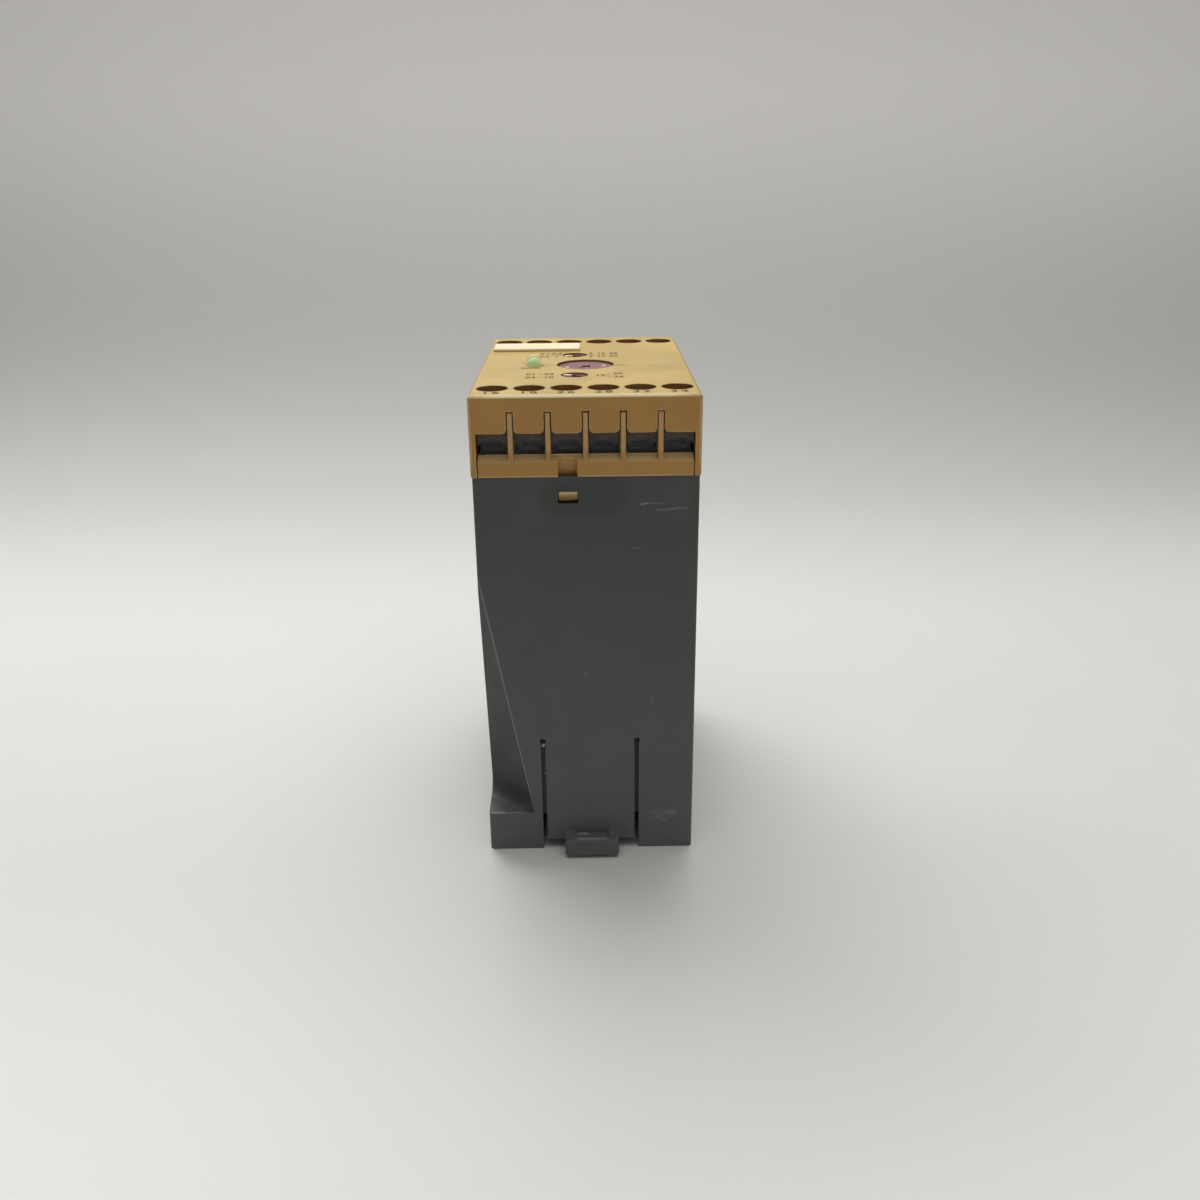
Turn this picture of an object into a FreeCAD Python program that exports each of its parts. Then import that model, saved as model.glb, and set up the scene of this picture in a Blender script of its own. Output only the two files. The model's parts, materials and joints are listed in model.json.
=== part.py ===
import FreeCAD, Part
import math
import os

# Multifunction timer relay for a 35 mm rail, in millimetres.
# It stands on its rail side with the panel up: X is the width, -Y the near terminal face, +Z up.
# The origin is on the plane of the feet, under the middle of the housing.

V = FreeCAD.Vector
X_AXIS = V(1, 0, 0)
Y_AXIS = V(0, 1, 0)
Z_AXIS = V(0, 0, 1)

# Terminals, in two rows along the end faces
TERMINALS = 6            # terminals in one row
PITCH = 7.24             # terminal to terminal
TERMINAL_EDGE = 0.78     # cover beside the last terminal
TERMINAL_DEPTH = 13.2    # end face to the back of the terminal block
HOLE_WEB = 0.94          # panel left between two screw holes
HOLE_INSET = 7.25        # end face to the line of screws

# Heights of the terminal stack, from the parting line up
SHELF_T = 2.0
BLOCK_FLOOR_T = 1.6
CAGE_T = 0.8
WIRE_SPACE = 2.8
BAR_T = 0.8
CAGE_TRAVEL = 1.0        # room for the cage to sink when the screw is loosened
HEAD_GAP = 0.6           # cage to screw head
HEAD_H = 1.8
HEADROOM = 2.2           # screw head to the underside of the panel
PANEL_T = 1.6

# Comb in front of the terminals: strip, sloped sill and ribs
STRIP_H = 3.0
SILL_RISE = 1.2
SILL_DEPTH = 2.0
RIB_W = 1.0
SLOT_SIDE_GAP = 0.225    # rib to the side of its slot
SLOT_END_GAP = 0.27      # rib to the top of its slot
NOSE_X = -3.58           # snap nose, from the middle of the near face
NOSE_W = 3.75
NOSE_DROP = 3.05         # parting line to the flat top of the nose
NOSE_H = 2.3
NOSE_TIP_H = 0.7         # upright front of the nose
NOSE_PROUD = 0.35        # nose in front of the base's wall
NOSE_BEVEL = 0.25
NOSE_LEAD = 1.7          # depth of the sloped lead-in under the tip
NOSE_ARM_T = 1.3
NOSE_WINDOW_GAP = 0.1    # window above the nose
NOSE_SIDE_GAP = 0.1
NOTCH_TOP_IN = 0.9       # depth of the notch behind the nose, at its top

# Black terminal blocks, clamps, bars and screws
PARTITION = 1.24         # wall between two chambers
BLOCK_FRONT_T = 1.2
BLOCK_BACK_T = 1.2
ENTRY_SIDE = 0.1         # chamber wall to the side of the wire entry
ENTRY_RISE = 1.35        # height of the arch over the wire entry
CAGE_W = 5.2
CAGE_L = 5.0
BAR_W = 3.4
BAR_LEAD = 0.75          # bar in front of its cage
BAR_TAIL = 3.0           # bar behind the block, on the board
SCREW_D = 3.0
SCREW_HEAD_D = 5.0
SHANK_SIDES = 10         # the small repeated rounds have few faces
HEAD_SIDES = 18
SLOT_W = 0.8             # screwdriver slot
SLOT_DEPTH = 0.9
METAL_GAP = 0.1          # clamp parts to each other and to their slots

# Cover
COVER_SIDE_T = 1.3
APRON_T = 1.3
APRON_DROP = 7.36        # panel to the lower edge of the apron
SLOT_DROP = 3.13         # panel to the top of the rib slots
APRON_CORNER = 0.9       # rounded corner where a slot opens
COVER_EDGE = 1.1         # rounded edge round the panel and down the corners
SIDE_CLEAR = 0.2         # comb and block to the cover's side walls
DRIVER_GUIDE_GAP = 0.2   # screw heads to the screwdriver guides under the panel
POST_W = 4.0             # square board posts under the panel
PEG_W = 2.0              # their pegs, through the board
PEG_OUT = 0.8
POST_INSET = 5.2         # back of the block to the posts

# Controls along the middle of the panel, counted from the near block
SELECTOR_MARGIN = 7.8    # back of the block to the function selector
CONTROL_PITCH = 12.55    # selector to dial to selector
SELECTOR_X = -2.1
DIAL_X = 0.2
DIAL_D = 11.8
DIAL_T = 2.2
DIAL_SHAFT_D = 6.0
SELECTOR_D = 5.1
SELECTOR_SHAFT_D = 4.0
CAP_LIP_T = 2.9          # height of a selector's cap
PANEL_CLEAR = 0.3        # dial and selectors to the panel, all round
DIAL_SINK = 0.4          # dial below the panel
SELECTOR_SINK = 0.15     # selectors below the panel
SHAFT_CLEAR = 0.05       # running clearance of a shaft
POT_SIZE = 10.0
SWITCH_SIZE = 9.0
BODY_BEVEL = 1.0
CONTROL_TOP_GAP = 1.0    # control bodies to the caps that turn over them
SHAFT_END = 1.2          # board to the end of a shaft
POINTER_W = 0.9
POINTER_DEPTH = 0.6
DIAL_POINTER_L = 3.4
DIAL_POINTER_TURN = 45.0     # degrees from +X, as the photograph shows the three at rest
FUNCTION_POINTER_TURN = 160.0
RANGE_POINTER_TURN = 200.0
LED_X = -11.0
LED_Y = -0.45            # from the middle of the dial
LED_D = 3.0
LED_OUT = 2.4            # above the panel
LED_FLANGE = 0.4
LED_FLANGE_T = 1.0
LED_LEG = 0.5
LED_LEG_GAP = 1.27       # middle of the LED to each leg
LED_CLEAR = 0.1
DOME_RINGS = 4           # straight steps up the side of the dome

# Marker plate
MARKER_GAP = 5.6         # range selector to the plate
MARKER_L = 8.6
MARKER_ROOM = 13.7       # range selector to the line of the far block
MARKER_X = -11.0
MARKER_W = 20.1
MARKER_T = 0.6
MARKER_CORNER = 0.4
MARKER_PEG_W = 1.6       # square pegs
MARKER_PEG_IN = 3.0      # plate's end to its pegs
MARKER_PEG_CLEAR = 0.05

# Base
BASE_H = 85.0            # feet to the parting line
STEP = 0.25              # base stands in from the cover
BASE_WALL = 2.0
CORNER = 0.8             # rounded upright corners
FLOOR_T = 2.0
FOOT_SKIN = 2.0
LIP_T = 1.4              # lip that locates the cover
LIP_H = 3.0
LIP_ROOT = 2.0
LIP_END = 1.0            # terminal block to the end of the lip

# Rail recess, for the 35 mm rail
RAIL_W = 35.0
RAIL_GAP = 0.3
RAIL_SEAT_Z = 7.0        # depth of the recess
FLANGE_SLOT = 1.3        # slot for the rail's 1 mm flange
HOOK_REACH = 1.6         # hooks over the rail's edge
HOOK_LEAD = 1.5          # sloped lead-in under the hooks

# Latch tongue
TONGUE_W = 19.2
SLIT_W = 0.9
SLIT_TOP = 26.8
SLIT_END_D = 1.3         # round end of a slit
ROOT_GAP = 0.3           # flexing root, where tongue and wall part
TONGUE_BOTTOM = 2.25
TONGUE_GAP = 1.2         # room behind the tongue
ARM_W = 16.0
ARM_T = 2.4
TAB_X = 0.2
TAB_W = 11.65
TAB_OUT = 4.25
TAB_H = 3.9
TAB_BOTTOM = 0.76
TAB_CORNER = 0.8
TAB_POCKET_W = 7.2
TAB_POCKET_L = 2.6       # screwdriver pocket, from the wall
TAB_POCKET_DEPTH = 0.9

# Slanted cut at the near left corner
LEDGE_Z = 9.3
CUT_TOP_Z = 65.0
CUT_Y = 12.2
FOOT_EDGE = 1.8          # wall left between the cut and the slit

# Boards and what stands on them
BOARD_T = 1.6
BOARD_SIDE_GAP = 0.7
BOARD_END_GAP = 0.3
GUIDE_CLEAR = 0.15
GUIDE_T = 1.4
GUIDE_HOLD = 2.0
MAIN_BOARD_IN = 3.65     # right wall to the main board
MAIN_BOARD_TOP_GAP = 1.0
PIN_COUNT = 10
PIN_PITCH = 2.54
PIN_W = 0.64
PIN_HOLE_GAP = 0.13
PIN_OUT = 0.8
PIN_DROP = 4.0           # board's edge to the foot of the pin strip
CORE_LEG = 5.0           # outer leg; the middle leg is twice as wide
CORE_WINDOW = 15.0
CORE_STACK = 12.0
COIL_GAP = 0.1
COIL_OVERHANG = 4.6
COIL_BEVEL = 1.2
TRANSFORMER_IN = 19.0    # far edge of the board to the middle of the transformer
RELAY_W = 12.7
RELAY_L = 29.0
RELAY_H = 15.7
RELAY_EDGE = 0.6
RELAY_SPACE = 1.8
PART_MARGIN = 2.0        # components to the board's edges
SUPPLY_CAP_D = 10.0
SUPPLY_CAP_H = 16.0
TIMING_CAP_D = 8.0
TIMING_CAP_H = 12.0
CAN_SIDES = 24
CAP_SPACE = 4.0
CHIP_L = 19.3
CHIP_W = 6.4
CHIP_H = 3.3
CHIP_STAND = 0.5
CHIP_LEGS = 8            # legs on each side
CHIP_LEG_W = 0.5
CHIP_Z = 16.0            # board's lower edge to the chip
VARISTOR_D = 10.0
VARISTOR_T = 4.0
VARISTOR_STAND = 2.0
VARISTOR_LEAD = 0.8

# Worked out from the sizes above
COVER_W = TERMINALS * PITCH + 2 * TERMINAL_EDGE
COVER_L = 2 * TERMINAL_DEPTH + SELECTOR_MARGIN + 2 * CONTROL_PITCH + MARKER_ROOM
Y_NEAR = -COVER_L / 2
COVER_IN = COVER_W / 2 - COVER_SIDE_T
BLOCK_HALF = COVER_IN - SIDE_CLEAR
BASE_X = COVER_W / 2 - STEP
BASE_Y = COVER_L / 2 - STEP
SHELF_TOP = BASE_H + SHELF_T
CAGE_BOTTOM = SHELF_TOP + BLOCK_FLOOR_T
WIRE_FLOOR = CAGE_BOTTOM + CAGE_T
BOARD_TOP = WIRE_FLOOR + WIRE_SPACE
BAR_TOP = BOARD_TOP + BAR_T
CAGE_TOP = BAR_TOP + CAGE_TRAVEL + CAGE_T
HEAD_BOTTOM = CAGE_TOP + HEAD_GAP
HEAD_TOP = HEAD_BOTTOM + HEAD_H
PANEL_UNDER = HEAD_TOP + HEADROOM
PANEL_TOP = PANEL_UNDER + PANEL_T
SILL_FRONT = BASE_H + STRIP_H
SILL_BACK = SILL_FRONT + SILL_RISE
SLOT_TOP = PANEL_TOP - SLOT_DROP
APRON_BOTTOM = PANEL_TOP - APRON_DROP
HOLE_D = PITCH - HOLE_WEB
RIB_X = [(i - TERMINALS / 2) * PITCH for i in range(1, TERMINALS)]
TERMINAL_X = [(i - (TERMINALS - 1) / 2) * PITCH for i in range(TERMINALS)]
FUNCTION_Y = Y_NEAR + TERMINAL_DEPTH + SELECTOR_MARGIN
DIAL_Y = FUNCTION_Y + CONTROL_PITCH
RANGE_Y = DIAL_Y + CONTROL_PITCH
MARKER_Y = RANGE_Y + MARKER_GAP
DIAL_TOP = PANEL_TOP - DIAL_SINK
DIAL_BOTTOM = DIAL_TOP - DIAL_T
SELECTOR_TOP = PANEL_TOP - SELECTOR_SINK
SELECTOR_BOTTOM = SELECTOR_TOP - CAP_LIP_T
SHAFT_BOTTOM = BOARD_TOP + SHAFT_END
FLOOR_Z = RAIL_SEAT_Z + FLOOR_T
RAIL_EDGE = RAIL_W / 2 + RAIL_GAP
HOOK_TIP = RAIL_W / 2 - HOOK_REACH
HOOK_TOP = RAIL_SEAT_Z - FLANGE_SLOT
POCKET_X = TONGUE_W / 2 + SLIT_W
POCKET_BACK = -BASE_Y + BASE_WALL + TONGUE_GAP
CUT_X = BASE_X - POCKET_X - FOOT_EDGE
MAIN_X = BASE_X - BASE_WALL - MAIN_BOARD_IN - BOARD_T
MAIN_TOP = BASE_H - MAIN_BOARD_TOP_GAP
MAIN_NEAR = POCKET_BACK + BASE_WALL + BOARD_END_GAP
MAIN_FAR = BASE_Y - BASE_WALL - BOARD_END_GAP
TRANSFORMER_Y = MAIN_FAR - TRANSFORMER_IN
FRONT_NEAR = Y_NEAR + TERMINAL_DEPTH + BOARD_END_GAP
POST_X = 2 * PITCH
POST_Y = -(Y_NEAR + TERMINAL_DEPTH + POST_INSET)
PAST = 1.0               # how far a cutting shape runs past the wall that it cuts


def box(x0, x1, y0, y1, z0, z1):
    """Block between two corners."""
    return Part.makeBox(x1 - x0, y1 - y0, z1 - z0, V(x0, y0, z0))


def post(x, y, z0, z1, width):
    """Upright square bar."""
    half = width / 2
    return box(x - half, x + half, y - half, y + half, z0, z1)


def rod(x, y, z0, z1, diameter):
    """Upright round bar."""
    return Part.makeCylinder(diameter / 2, z1 - z0, V(x, y, z0))


def ring(diameter, sides):
    """Corners of a ring with flat sides round the given diameter."""
    radius = diameter / 2 / math.cos(math.pi / sides)
    turns = [2 * math.pi * (i + 0.5) / sides for i in range(sides)]
    return [(radius * math.cos(a), radius * math.sin(a)) for a in turns]


def faceted_rod(x, y, z0, z1, diameter, sides):
    """Upright bar with flat sides round the given diameter."""
    return prism([(x + a, y + b, z0) for a, b in ring(diameter, sides)], (0, 0, z1 - z0))


def prism(points, run):
    """Closed outline of straight sides, pushed along one direction."""
    corners = [V(*point) for point in points]
    return Part.Face(Part.makePolygon(corners + corners[:1])).extrude(V(*run))


def edges_along(shape, axis):
    """Straight edges of a shape that run along an axis."""
    straight = [e for e in shape.Edges if e.Curve.TypeId == "Part::GeomLine"]
    return [e for e in straight if abs(e.Curve.Direction.dot(axis)) > 0.999]


def turned(shape):
    """Copy for the far end face: half a turn about Z."""
    copy = shape.copy()
    copy.rotate(V(0, 0, 0), Z_AXIS, 180)
    return copy


def joined(shapes):
    """One solid out of shapes that meet."""
    return shapes[0].multiFuse(shapes[1:]).removeSplitter()


def corner_wedge(x, y, z, leg_x, leg_y, leg_z):
    """Corner piece under a slanted plane, with its right corner at x, y, z."""
    corner = V(x, y, z)
    tips = [corner + V(leg_x, 0, 0), corner + V(0, leg_y, 0), corner + V(0, 0, leg_z)]
    triangles = [(corner, tips[0], tips[1]), (corner, tips[1], tips[2]), (corner, tips[2], tips[0]), tips]
    faces = [Part.Face(Part.makePolygon(list(t) + [t[0]])) for t in triangles]
    return Part.makeSolid(Part.makeShell(faces))


def cut_wedges():
    """The slanted corner cut, and the same plane set back by the wall for the inside."""
    legs = (CUT_X, CUT_Y, CUT_TOP_Z - LEDGE_Z)
    steepness = math.sqrt(sum(1 / leg ** 2 for leg in legs))
    outside = 1 + PAST / CUT_X + PAST / CUT_Y
    outer = corner_wedge(-BASE_X - PAST, -BASE_Y - PAST, LEDGE_Z, *[leg * outside for leg in legs])
    inside = 1 + BASE_WALL * steepness + BASE_WALL / legs[2]
    inner = corner_wedge(-BASE_X, -BASE_Y, LEDGE_Z - BASE_WALL, *[leg * inside for leg in legs])
    return outer, inner


def rail_recess():
    """Channel for the rail along X: straight wall near the latch, undercut hook at the far side."""
    outline = [
        (-RAIL_EDGE, -PAST), (-RAIL_EDGE, RAIL_SEAT_Z), (RAIL_EDGE, RAIL_SEAT_Z), (RAIL_EDGE, HOOK_TOP),
        (HOOK_TIP, HOOK_TOP), (HOOK_TIP, HOOK_LEAD), (HOOK_TIP + HOOK_LEAD, 0), (HOOK_TIP + HOOK_LEAD, -PAST),
    ]
    return prism([(-BASE_X - PAST, y, z) for y, z in outline], (2 * (BASE_X + PAST), 0, 0))


def nose_window():
    """Window for a comb's snap nose in the near wall."""
    left = NOSE_X - NOSE_W / 2 - NOSE_SIDE_GAP
    right = NOSE_X + NOSE_W / 2 + NOSE_SIDE_GAP
    top = BASE_H - NOSE_DROP + NOSE_WINDOW_GAP
    bottom = BASE_H - NOSE_DROP - NOSE_H - NOSE_SIDE_GAP
    return box(left, right, -BASE_Y - PAST, -BASE_Y + BASE_WALL + PAST, bottom, top)


def board_guides():
    """Two pairs of upright ribs that hold the edges of the main board."""
    sides = [(MAIN_X - GUIDE_CLEAR - GUIDE_T, MAIN_X - GUIDE_CLEAR),
             (MAIN_X + BOARD_T + GUIDE_CLEAR, MAIN_X + BOARD_T + GUIDE_CLEAR + GUIDE_T)]
    spans = [(-BASE_Y + BASE_WALL / 2, MAIN_NEAR + GUIDE_HOLD),
             (MAIN_FAR - GUIDE_HOLD, BASE_Y - BASE_WALL / 2)]
    top = MAIN_TOP - 2 * NOSE_DROP
    return [box(x0, x1, y0, y1, FLOOR_Z - FLOOR_T / 2, top) for x0, x1 in sides for y0, y1 in spans]


def cover_lips():
    """Lips on the side walls that stand up inside the cover."""
    half = -Y_NEAR - TERMINAL_DEPTH - LIP_END
    lip = box(BLOCK_HALF - LIP_T, BLOCK_HALF, -half, half, BASE_H - LIP_ROOT, BASE_H + LIP_H)
    return [lip, turned(lip)]


def base_housing():
    """Dark moulded box with feet, rail recess, room for the latch tongue and the slanted corner."""
    outer = box(-BASE_X, BASE_X, -BASE_Y, BASE_Y, 0, BASE_H)
    outer = outer.makeFillet(CORNER, edges_along(outer, Z_AXIS))
    in_x = BASE_X - BASE_WALL
    in_y = BASE_Y - BASE_WALL
    foot_in = RAIL_EDGE + BASE_WALL
    pocket_wall_x = POCKET_X + BASE_WALL
    hollow = joined([
        box(-in_x, in_x, -in_y, in_y, FLOOR_Z, BASE_H + PAST),
        box(-in_x, in_x, foot_in, in_y, FOOT_SKIN, FLOOR_Z + PAST),
        box(pocket_wall_x, in_x, -in_y, -foot_in, FOOT_SKIN, FLOOR_Z + PAST),
    ])
    pocket = box(-POCKET_X, POCKET_X, -BASE_Y - PAST, POCKET_BACK, -PAST, SLIT_TOP)
    pocket_wall = box(-pocket_wall_x, pocket_wall_x, -BASE_Y, POCKET_BACK + BASE_WALL,
                      0, SLIT_TOP + BASE_WALL)
    arm_room = box(-POCKET_X, POCKET_X, -BASE_Y - PAST, -RAIL_EDGE + PAST, -PAST, RAIL_SEAT_Z)
    slit_x = (TONGUE_W + SLIT_W) / 2
    slit_ends = [Part.makeCylinder(SLIT_END_D / 2, BASE_WALL + PAST, V(x, -BASE_Y - PAST, SLIT_TOP), Y_AXIS)
                 for x in (-slit_x, slit_x)]
    wedge, wedge_inside = cut_wedges()
    base = outer.cut(hollow.cut(pocket_wall).cut(wedge_inside))
    base = joined([base] + board_guides() + cover_lips())
    window = nose_window()
    return base.cut([wedge, pocket, arm_room, rail_recess(), window, turned(window)] + slit_ends)


def rail_latch_tongue():
    """Snap tongue of the near wall: plate, arm to the rail with its hook, and the pull tab."""
    front = -BASE_Y
    back = front + BASE_WALL
    plate = box(-TONGUE_W / 2, TONGUE_W / 2, front, back, TONGUE_BOTTOM, SLIT_TOP - ROOT_GAP)
    arm_top = TONGUE_BOTTOM + ARM_T
    arm_outline = [
        (front + BASE_WALL / 2, TONGUE_BOTTOM), (-HOOK_TIP - HOOK_LEAD, TONGUE_BOTTOM), (-HOOK_TIP, arm_top),
        (-HOOK_TIP, HOOK_TOP), (-RAIL_EDGE, HOOK_TOP), (-RAIL_EDGE - HOOK_LEAD, arm_top),
        (front + BASE_WALL / 2, arm_top),
    ]
    arm = prism([(-ARM_W / 2, y, z) for y, z in arm_outline], (ARM_W, 0, 0))
    tab = box(TAB_X - TAB_W / 2, TAB_X + TAB_W / 2, front - TAB_OUT, back, TAB_BOTTOM, TAB_BOTTOM + TAB_H)
    outer_corners = [e for e in edges_along(tab, Z_AXIS) if e.CenterOfMass.y < front]
    tab = tab.makeFillet(TAB_CORNER, outer_corners)
    pocket = box(
        TAB_X - TAB_POCKET_W / 2, TAB_X + TAB_POCKET_W / 2,
        front - TAB_POCKET_L, front,
        TAB_BOTTOM + TAB_H - TAB_POCKET_DEPTH, TAB_BOTTOM + TAB_H + PAST,
    )
    return joined([plate, arm, tab]).cut(pocket)


def apron_opening():
    """Opening under both aprons: windows for the wires, and a slot with rounded foot for each rib."""
    half_slot = RIB_W / 2 + SLOT_SIDE_GAP
    low = BASE_H - PAST
    bend = APRON_CORNER * (1 - math.sqrt(0.5))
    start = V(-COVER_IN, Y_NEAR - PAST, low)
    edges = []
    here = start

    def line(x, z):
        nonlocal here
        there = V(x, Y_NEAR - PAST, z)
        edges.append(Part.LineSegment(here, there).toShape())
        here = there

    def arc(mid_x, mid_z, x, z):
        nonlocal here
        there = V(x, Y_NEAR - PAST, z)
        edges.append(Part.Arc(here, V(mid_x, Y_NEAR - PAST, mid_z), there).toShape())
        here = there

    line(-COVER_IN, APRON_BOTTOM)
    for x in RIB_X:
        left = x - half_slot
        right = x + half_slot
        line(left - APRON_CORNER, APRON_BOTTOM)
        arc(left - bend, APRON_BOTTOM + bend, left, APRON_BOTTOM + APRON_CORNER)
        line(left, SLOT_TOP)
        line(right, SLOT_TOP)
        line(right, APRON_BOTTOM + APRON_CORNER)
        arc(right + bend, APRON_BOTTOM + bend, right + APRON_CORNER, APRON_BOTTOM)
    line(COVER_IN, APRON_BOTTOM)
    line(COVER_IN, low)
    line(start.x, start.z)
    return Part.Face(Part.Wire(edges)).extrude(V(0, COVER_L + 2 * PAST, 0))


def marker_pegs(width, z0, z1):
    """Two pegs near the ends of the marker plate, or the holes for them."""
    reach = MARKER_W / 2 - MARKER_PEG_IN
    return [post(MARKER_X + side * reach, MARKER_Y + MARKER_L / 2, z0, z1, width) for side in (-1, 1)]


def panel_holes():
    """Every hole in the panel: screws, dial, selectors, LED and marker pegs."""
    low = PANEL_UNDER - PAST
    high = PANEL_TOP + PAST
    row = -Y_NEAR - HOLE_INSET
    holes = [rod(x, side * row, HEAD_TOP, high, HOLE_D) for side in (-1, 1) for x in TERMINAL_X]
    holes.append(rod(DIAL_X, DIAL_Y, low, high, DIAL_D + 2 * PANEL_CLEAR))
    for y in (FUNCTION_Y, RANGE_Y):
        holes.append(rod(SELECTOR_X, y, low, high, SELECTOR_D + 2 * PANEL_CLEAR))
    holes.append(rod(LED_X, DIAL_Y + LED_Y, low, high, LED_D + 2 * LED_CLEAR))
    return holes + marker_pegs(MARKER_PEG_W + 2 * MARKER_PEG_CLEAR, low, high)


def driver_guides():
    """Bars under the panel that deepen the screw holes, clear of the ribs in front of them."""
    bar = box(-COVER_IN - COVER_SIDE_T / 2, COVER_IN + COVER_SIDE_T / 2,
              Y_NEAR + SILL_DEPTH + SIDE_CLEAR, Y_NEAR + TERMINAL_DEPTH,
              HEAD_TOP + DRIVER_GUIDE_GAP, PANEL_UNDER + PANEL_T / 2)
    return [bar, turned(bar)]


def front_cover():
    """Ochre cap: panel, side walls, slotted aprons and the posts that hold the front board."""
    half_x = COVER_W / 2
    cap = box(-half_x, half_x, Y_NEAR, -Y_NEAR, BASE_H, PANEL_TOP)
    rim = [e for e in cap.Edges if e.BoundBox.ZMin > PANEL_UNDER]
    cap = cap.makeFillet(COVER_EDGE, rim + edges_along(cap, Z_AXIS))
    in_y = -Y_NEAR - APRON_T
    cap = cap.cut(box(-COVER_IN, COVER_IN, -in_y, in_y, BASE_H - PAST, PANEL_UNDER))
    cap = joined([cap.cut(apron_opening())] + driver_guides())
    cap = cap.cut(panel_holes())
    posts = []
    for x in (-POST_X, POST_X):
        for y in (-POST_Y, POST_Y):
            posts.append(post(x, y, BOARD_TOP, PANEL_UNDER + PANEL_T / 2, POST_W))
            posts.append(post(x, y, BOARD_TOP - BOARD_T - PEG_OUT, BOARD_TOP + PAST, PEG_W))
    return joined([cap] + posts)


def terminal_comb():
    """Ochre strip with sloped sill, ribs, the shelf under the terminal block and the snap nose."""
    sill = [(0, BASE_H), (0, SILL_FRONT), (SILL_DEPTH, SILL_BACK), (SILL_DEPTH, SHELF_TOP),
            (TERMINAL_DEPTH, SHELF_TOP), (TERMINAL_DEPTH, BASE_H)]
    bar = prism([(-BLOCK_HALF, Y_NEAR + d, z) for d, z in sill], (2 * BLOCK_HALF, 0, 0))
    rib_top = SLOT_TOP - SLOT_END_GAP
    ribs = [box(x - RIB_W / 2, x + RIB_W / 2, Y_NEAR, Y_NEAR + SILL_DEPTH, BASE_H, rib_top) for x in RIB_X]
    left = NOSE_X - NOSE_W / 2
    notch = [(-PAST, BASE_H - PAST), (SILL_DEPTH - NOSE_SIDE_GAP, BASE_H - PAST),
             (SILL_DEPTH - NOSE_SIDE_GAP, BASE_H), (NOTCH_TOP_IN, SILL_BACK), (-PAST, SILL_BACK)]
    notch = prism([(left, Y_NEAR + d, z) for d, z in notch], (NOSE_W, 0, 0))
    wall_in = STEP + BASE_WALL + NOSE_SIDE_GAP
    top = BASE_H - NOSE_DROP
    foot = top - NOSE_H
    tip = STEP - NOSE_PROUD
    arm = [(wall_in, BASE_H + SHELF_T / 2), (wall_in, top), (tip + NOSE_BEVEL, top),
           (tip, top - NOSE_BEVEL), (tip, top - NOSE_TIP_H), (tip + NOSE_LEAD, foot),
           (wall_in + NOSE_ARM_T, foot), (wall_in + NOSE_ARM_T, BASE_H + SHELF_T / 2)]
    arm = prism([(left, Y_NEAR + d, z) for d, z in arm], (NOSE_W, 0, 0))
    return joined([bar.cut(notch)] + ribs + [arm])


def wire_entry(x):
    """Arched way through the front of a block, for one wire."""
    half = (PITCH - PARTITION) / 2 - ENTRY_SIDE
    y = Y_NEAR + SILL_DEPTH - PAST
    shoulder = BOARD_TOP - ENTRY_RISE
    corners = [V(x - half, y, shoulder), V(x - half, y, SILL_BACK), V(x + half, y, SILL_BACK),
               V(x + half, y, shoulder)]
    sides = [Part.LineSegment(a, b).toShape() for a, b in zip(corners, corners[1:])]
    arch = Part.Arc(corners[3], V(x, y, BOARD_TOP), corners[0]).toShape()
    return Part.Face(Part.Wire(sides + [arch])).extrude(V(0, BLOCK_FRONT_T + 2 * PAST, 0))


def terminal_block():
    """Black block of chambers, open above for the screws and in front for the wires."""
    front = Y_NEAR + SILL_DEPTH
    back = Y_NEAR + TERMINAL_DEPTH
    block = box(-BLOCK_HALF, BLOCK_HALF, front, back, SHELF_TOP, HEAD_TOP)
    chamber = (PITCH - PARTITION) / 2
    bar = BAR_W / 2 + METAL_GAP
    cuts = []
    for x in TERMINAL_X:
        left = x - chamber if x > TERMINAL_X[0] else -BLOCK_HALF - PAST
        right = x + chamber if x < TERMINAL_X[-1] else BLOCK_HALF + PAST
        cuts.append(box(left, right, front + BLOCK_FRONT_T, back - BLOCK_BACK_T,
                        CAGE_BOTTOM, HEAD_TOP + PAST))
        cuts.append(wire_entry(x))
        cuts.append(box(x - bar, x + bar, back - BLOCK_BACK_T - PAST, back + PAST,
                        BOARD_TOP - METAL_GAP, BAR_TOP + METAL_GAP))
    return block.cut(cuts)


def terminal_clamp(x):
    """Rising steel cage with its thread for the clamp screw."""
    y = Y_NEAR + HOLE_INSET
    half = CAGE_W / 2
    cage = box(x - half, x + half, y - CAGE_L / 2, y + CAGE_L / 2, CAGE_BOTTOM, CAGE_TOP)
    inner = box(x - half + CAGE_T, x + half - CAGE_T, y - CAGE_L, y + CAGE_L, WIRE_FLOOR, CAGE_TOP - CAGE_T)
    thread = faceted_rod(x, y, CAGE_TOP - CAGE_T - PAST, CAGE_TOP + PAST, SCREW_D + METAL_GAP, SHANK_SIDES)
    return cage.cut([inner, thread])


def terminal_bar(x):
    """Flat brass bar through the cage and out of the block on to the front board."""
    start = Y_NEAR + HOLE_INSET - CAGE_L / 2 - BAR_LEAD
    end = Y_NEAR + TERMINAL_DEPTH + BAR_TAIL
    return box(x - BAR_W / 2, x + BAR_W / 2, start, end, BOARD_TOP, BAR_TOP)


def terminal_screw(x):
    """Slotted screw: its shank goes through the cage and stands on the bar."""
    y = Y_NEAR + HOLE_INSET
    shank = faceted_rod(x, y, BAR_TOP, HEAD_BOTTOM, SCREW_D, SHANK_SIDES)
    head = faceted_rod(x, y, HEAD_BOTTOM, HEAD_TOP, SCREW_HEAD_D, HEAD_SIDES)
    slot = box(x - SLOT_W / 2, x + SLOT_W / 2, y - SCREW_HEAD_D, y + SCREW_HEAD_D,
               HEAD_TOP - SLOT_DEPTH, HEAD_TOP + PAST)
    return joined([shank, head]).cut(slot)


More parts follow.
